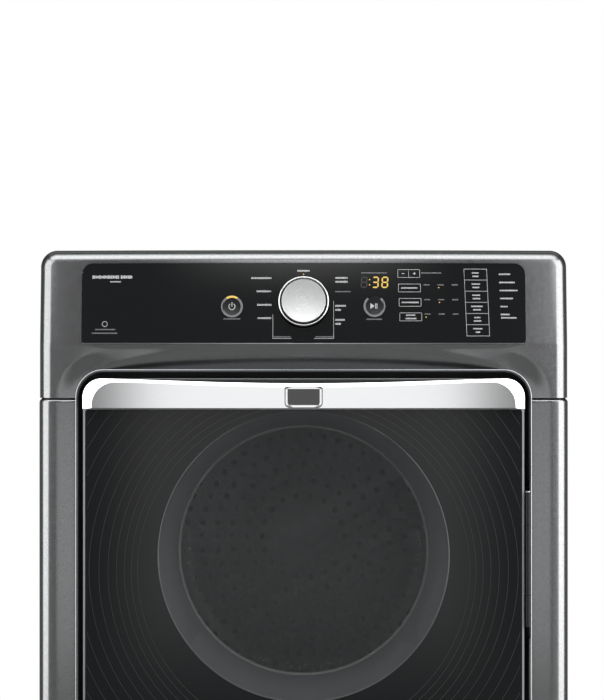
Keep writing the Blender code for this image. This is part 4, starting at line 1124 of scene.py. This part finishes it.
# %% Words
left_cycles = [(-0.0416 - length, z, length) for z, length in
               ((0.9284, 0.0262), (0.9113, 0.0190), (0.8938, 0.0186), (0.8766, 0.0178))]
right_cycles = [(0.0407, z, length) for z, length in
                ((0.9287, 0.0165), (0.9236, 0.0165), (0.8925, 0.0140), (0.8873, 0.0078), (0.8744, 0.0130),
                 (0.8692, 0.0078))]
status = [(0.2530 + 0.0004 * row, z, length) for row, (z, length) in enumerate(
    ((0.9337, 0.0150), (0.9230, 0.0205), (0.9126, 0.0235), (0.9022, 0.0175), (0.8917, 0.0092),
     (0.8815, 0.0115), (0.8771, 0.0205)))]
words("cycle_words", left_cycles + right_cycles + [(-0.0082, 0.9378, 0.0160)], PRINT)
words("status_words", status, PRINT, scale=0.85)
small = [(-0.1035, 0.8757, 0.0215), (0.0810, 0.8752, 0.0205), (0.0743, 0.9352, 0.0335),
         (0.1520, 0.9352, 0.0260), (-0.0385, 0.8524, 0.0220), (0.0150, 0.8524, 0.0225),
         (0.0407, 0.9109, 0.0205)]
small += [(x + 0.0006 * row, z, 0.0075) for row, z in enumerate((0.9197, 0.9006, 0.8819))
          for x in (0.1550, 0.1732, 0.1915)]
small += [(-0.2695, 0.8620, 0.0260), (-0.2740, 0.8572, 0.0330)]
words("small_words", small, FAINT_PRINT, scale=0.7)
words("title_blocks", [(-0.2740, 0.9300, 0.0340), (-0.2370, 0.9300, 0.0150)], PRINT, scale=1.75)
words("subtitle_blocks", [(-0.2507, 0.9239, 0.0145)], PRINT, scale=0.75)

# %% Labels on the keys
x, z, width, height = SMALL_KEYS["time_rocker"]
# a minus, a plus made of three plates that don't touch, and the line between them
signs = [plate(x + left, z + low, x + right, z + high) for left, low, right, high in (
    (-0.0090, -0.0004, -0.0056, 0.0004), (0.0056, -0.0005, 0.0090, 0.0005), (0.0068, 0.00052, 0.0078, 0.0017),
    (0.0068, -0.0017, 0.0078, -0.00052), (-0.0003, -height / 2, 0.0001, height / 2))]
ink("time_rocker_signs", signs, PRINT, "time_rocker", ON_KEY)
LINE_STEP = 0.0022                    # half of the distance between two rows of a label
KEY_WORDS = {"temperature_key": (0.0215,), "dryness_key": (0.0218,), "wrinkle_key": (0.0125, 0.0135)}
for number, lengths in enumerate(((0.0090, 0.0075), (0.0110, 0.0090), (0.0105, 0.0095), (0.0150, 0.0098),
                                  (0.0082, 0.0100), (0.0125, 0.0060))):
    KEY_WORDS[f"option_key_{number + 1}"] = lengths
for key, lengths in KEY_WORDS.items():
    x, z = SMALL_KEYS[key][:2]
    rows = [(x - length / 2, z + LINE_STEP * (len(lengths) - 1 - 2 * row), length)
            for row, length in enumerate(lengths)]
    words(key + "_label", rows, PRINT, key, 0.8, FACE_Y + 0.00015)

# %% Display and lamps
# each segment's place across and up, in half sizes of the digit, and whether it lies level
SEGMENTS = {"a": (0, 1, True), "g": (0, 0, True), "d": (0, -1, True), "b": (1, 0.5, False),
            "c": (1, -0.5, False), "f": (-1, 0.5, False), "e": (-1, -0.5, False)}
DIGIT_Z, DIGIT_SLANT = 0.9230, 0.06


def digit(x, z, lit_segments, width=0.0088, height=0.0148, stroke=0.0018):
    """Seven-segment digit. Each bar has pointed ends, and the digit leans a little."""
    loops = []
    for segment in lit_segments:
        across, up, level = SEGMENTS[segment]
        cx, cz = across * (width - stroke) / 2, up * (height - stroke) / 2
        half, gap = stroke / 2, 0.0003
        long = ((width - stroke) / 2 if level else (height - stroke) / 4) - gap - half
        bar = [(-long - half, 0), (-long, -half), (long, -half),
               (long + half, 0), (long, half), (-long, half)]
        bar = bar if level else [(v, u) for u, v in bar][::-1]
        loops.append([(x + cx + u + DIGIT_SLANT * (cz + v), z + cz + v) for u, v in bar])
    return loops


colon = [circle((0.0853, z), 0.0009, 8) for z in (0.9265, 0.9197)]
ink("lit_digits", digit(0.0928, DIGIT_Z, "abcdg") + digit(0.1050, DIGIT_Z, "abcdefg") + colon, AMBER)
ink("unlit_digit", digit(0.0782, DIGIT_Z, "abcdefg"), DIM_SEGMENT)
lamp_places = ((0.1747, 0.9162), (0.1756, 0.8971), (0.1581, 0.8780), (0, 0.9333))
lamps = [circle(place, 0.0008, 10) for place in lamp_places] + [plate(0.2150, 0.8746, 0.2172, 0.8753)]
ink("lit_lamps", lamps, AMBER)


# %% [markdown]
# ## Top panel
# The top is a flat steel sheet whose long edges are rolled down to meet the sides, on the same radius
# as the console in front of it.

# %% Top panel
(top_left, top_front, top_low), (top_right, top_back, top_high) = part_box("top_panel")
LID_ROLL, LID_HEM = 0.0138, 0.0010
lid = box("lid", (top_left, top_right), (top_front, top_back), (top_low, top_high))
round_edges(lid, LID_ROLL, 10, lambda a, b: near(a.z, top_high) and near(b.z, top_high) and near(a.x, b.x))
round_edges(lid, LID_HEM, 3, lambda a, b: near(a.z, top_high) and near(b.z, top_high) and near(a.y, b.y))
done(lid, "top_panel_sheet", GRANITE, "cabinet", ("top_panel",), 40)

# %% [markdown]
# ## Everything behind the front
# The other working pieces already have the right shape. Each one is merged, shaded smooth and given the
# finish of its material slot. A few pieces that the slot alone can't describe get their own finish.

# %% Finishes of the remaining pieces
BY_SLOT = {"granite_paint": GRANITE, "gloss_black": ACRYLIC, "black_plastic": BLACK_ABS, "chrome": CHROME,
           "spun_aluminium": SPUN, "smoked_lens": LENS, "clear_glass": CLEAR, "galvanised_steel": ZINC,
           "stainless_steel": STAINLESS, "white_plastic": WHITE_PP, "grey_plastic": GREY_PP, "rubber": RUBBER,
           "felt": FELT, "board_green": BOARD}
OWN_FINISH = {"motor_body": CAST_IRON, "hinge_arm": BLACKENED, "hinge_bracket": BLACKENED,
              "hinge_pin": FASTENER_STEEL, "drive_pulley": FASTENER_STEEL, "door_strike": FASTENER_STEEL}
EDGES = {"drum_baffle_1": 0.002, "drum_baffle_2": 0.002, "drum_baffle_3": 0.002, "base_pan": 0.0004}
# the door's inner ring has long thin faces, which shade unevenly unless shallow creases stay sharp
CREASE = {"door_inner_panel": 14}
# the side sheets stand a hair inside the console, so no second edge shows beside it
WRAP_SHARE = 0.9965
smooth_copy("cabinet_wrap", GRANITE, "cabinet", 35, 0.0012, WRAP_SHARE)
plain_pieces = 0
for body, nodes in frame["record"]["behaviour"]["bodies"].items():
    for node in nodes:
        if node in done_nodes:
            continue
        slot = frame["nodes"][node].material_slots[0].material.name.split(".")[0]
        smooth_copy(node, OWN_FINISH.get(node, BY_SLOT[slot]), body, CREASE.get(node, 30),
                    EDGES.get(node, 0.0))
        plain_pieces += 1
print("pieces finished from the working model", plain_pieces)


# %% [markdown]
# ## Screws, and painted shade for the air holes
# Small turned shapes sit in rows and rings: the screws of the rear cover, and thin black discs where the
# heater's air holes into the drum would be.
# The holes are not cut; the discs are painted shade for their dark insides. One tree puts a short many-sided
# disc at each point.

# %% Discs on points
def disc_tree():
    tree, given = new_tree("discs", Sides="Int", Radius="Float", Depth="Float", Material="Material")
    disc = add(tree, "GeometryNodeMeshCylinder", {
        "Vertices": given["Sides"], "Radius": given["Radius"], "Depth": given["Depth"]})
    discs = add(tree, "GeometryNodeInstanceOnPoints", {
        "Points": given["Geometry"], "Instance": disc.outputs["Mesh"]}, Rotation=FACING_FRONT)
    close_tree(tree, discs.outputs[0], given["Material"])
    return tree


DISCS = disc_tree()


def discs(name, places, sides, radius, depth, material, body="cabinet"):
    return done(grow(name, DISCS, places, Sides=sides, Radius=radius, Depth=depth, Material=material),
                name, material, body, angle=40)


(cover_left, _, cover_low), (cover_right, cover_back, cover_high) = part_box("rear_access_cover")
low_row, high_row = cover_low + 0.012, cover_high - 0.012
cover_screws = [(x, low_row + (high_row - low_row) * row / 4)
                for x in (cover_left + 0.012, cover_right - 0.012) for row in range(5)]
cover_screws += [(x, z) for x in (-0.14, 0.0, 0.14) for z in (low_row, high_row)]
for name, out, sides, radius, depth in (("washers", 0.0006, 24, 0.0055, 0.0012),
                                        ("heads", 0.0026, 6, 0.0038, 0.0032)):
    discs("rear_screw_" + name, [(x, cover_back + out, z) for x, z in cover_screws], sides, radius, depth,
          FASTENER_STEEL)
DRUM_Z, BULKHEAD_FACE, HOLE_PITCH = 0.564, 0.3012, 0.020
holes = []
for ring in range(9):
    radius = 0.060 + 0.022 * ring
    count = int(2 * math.pi * radius / HOLE_PITCH)
    for hole in range(count):
        turn = 2 * math.pi * (hole + 0.5 * (ring % 2)) / count
        holes.append((radius * math.cos(turn), BULKHEAD_FACE, DRUM_Z + radius * math.sin(turn)))
print("screws", len(cover_screws), "air holes", len(holes))
# black discs on the bulkhead: painted shade for the dark insides of the air holes, which are not cut
discs("drum_air_hole_painted_shade", holes, 8, 0.0045, 0.0006, BLACK_ABS)
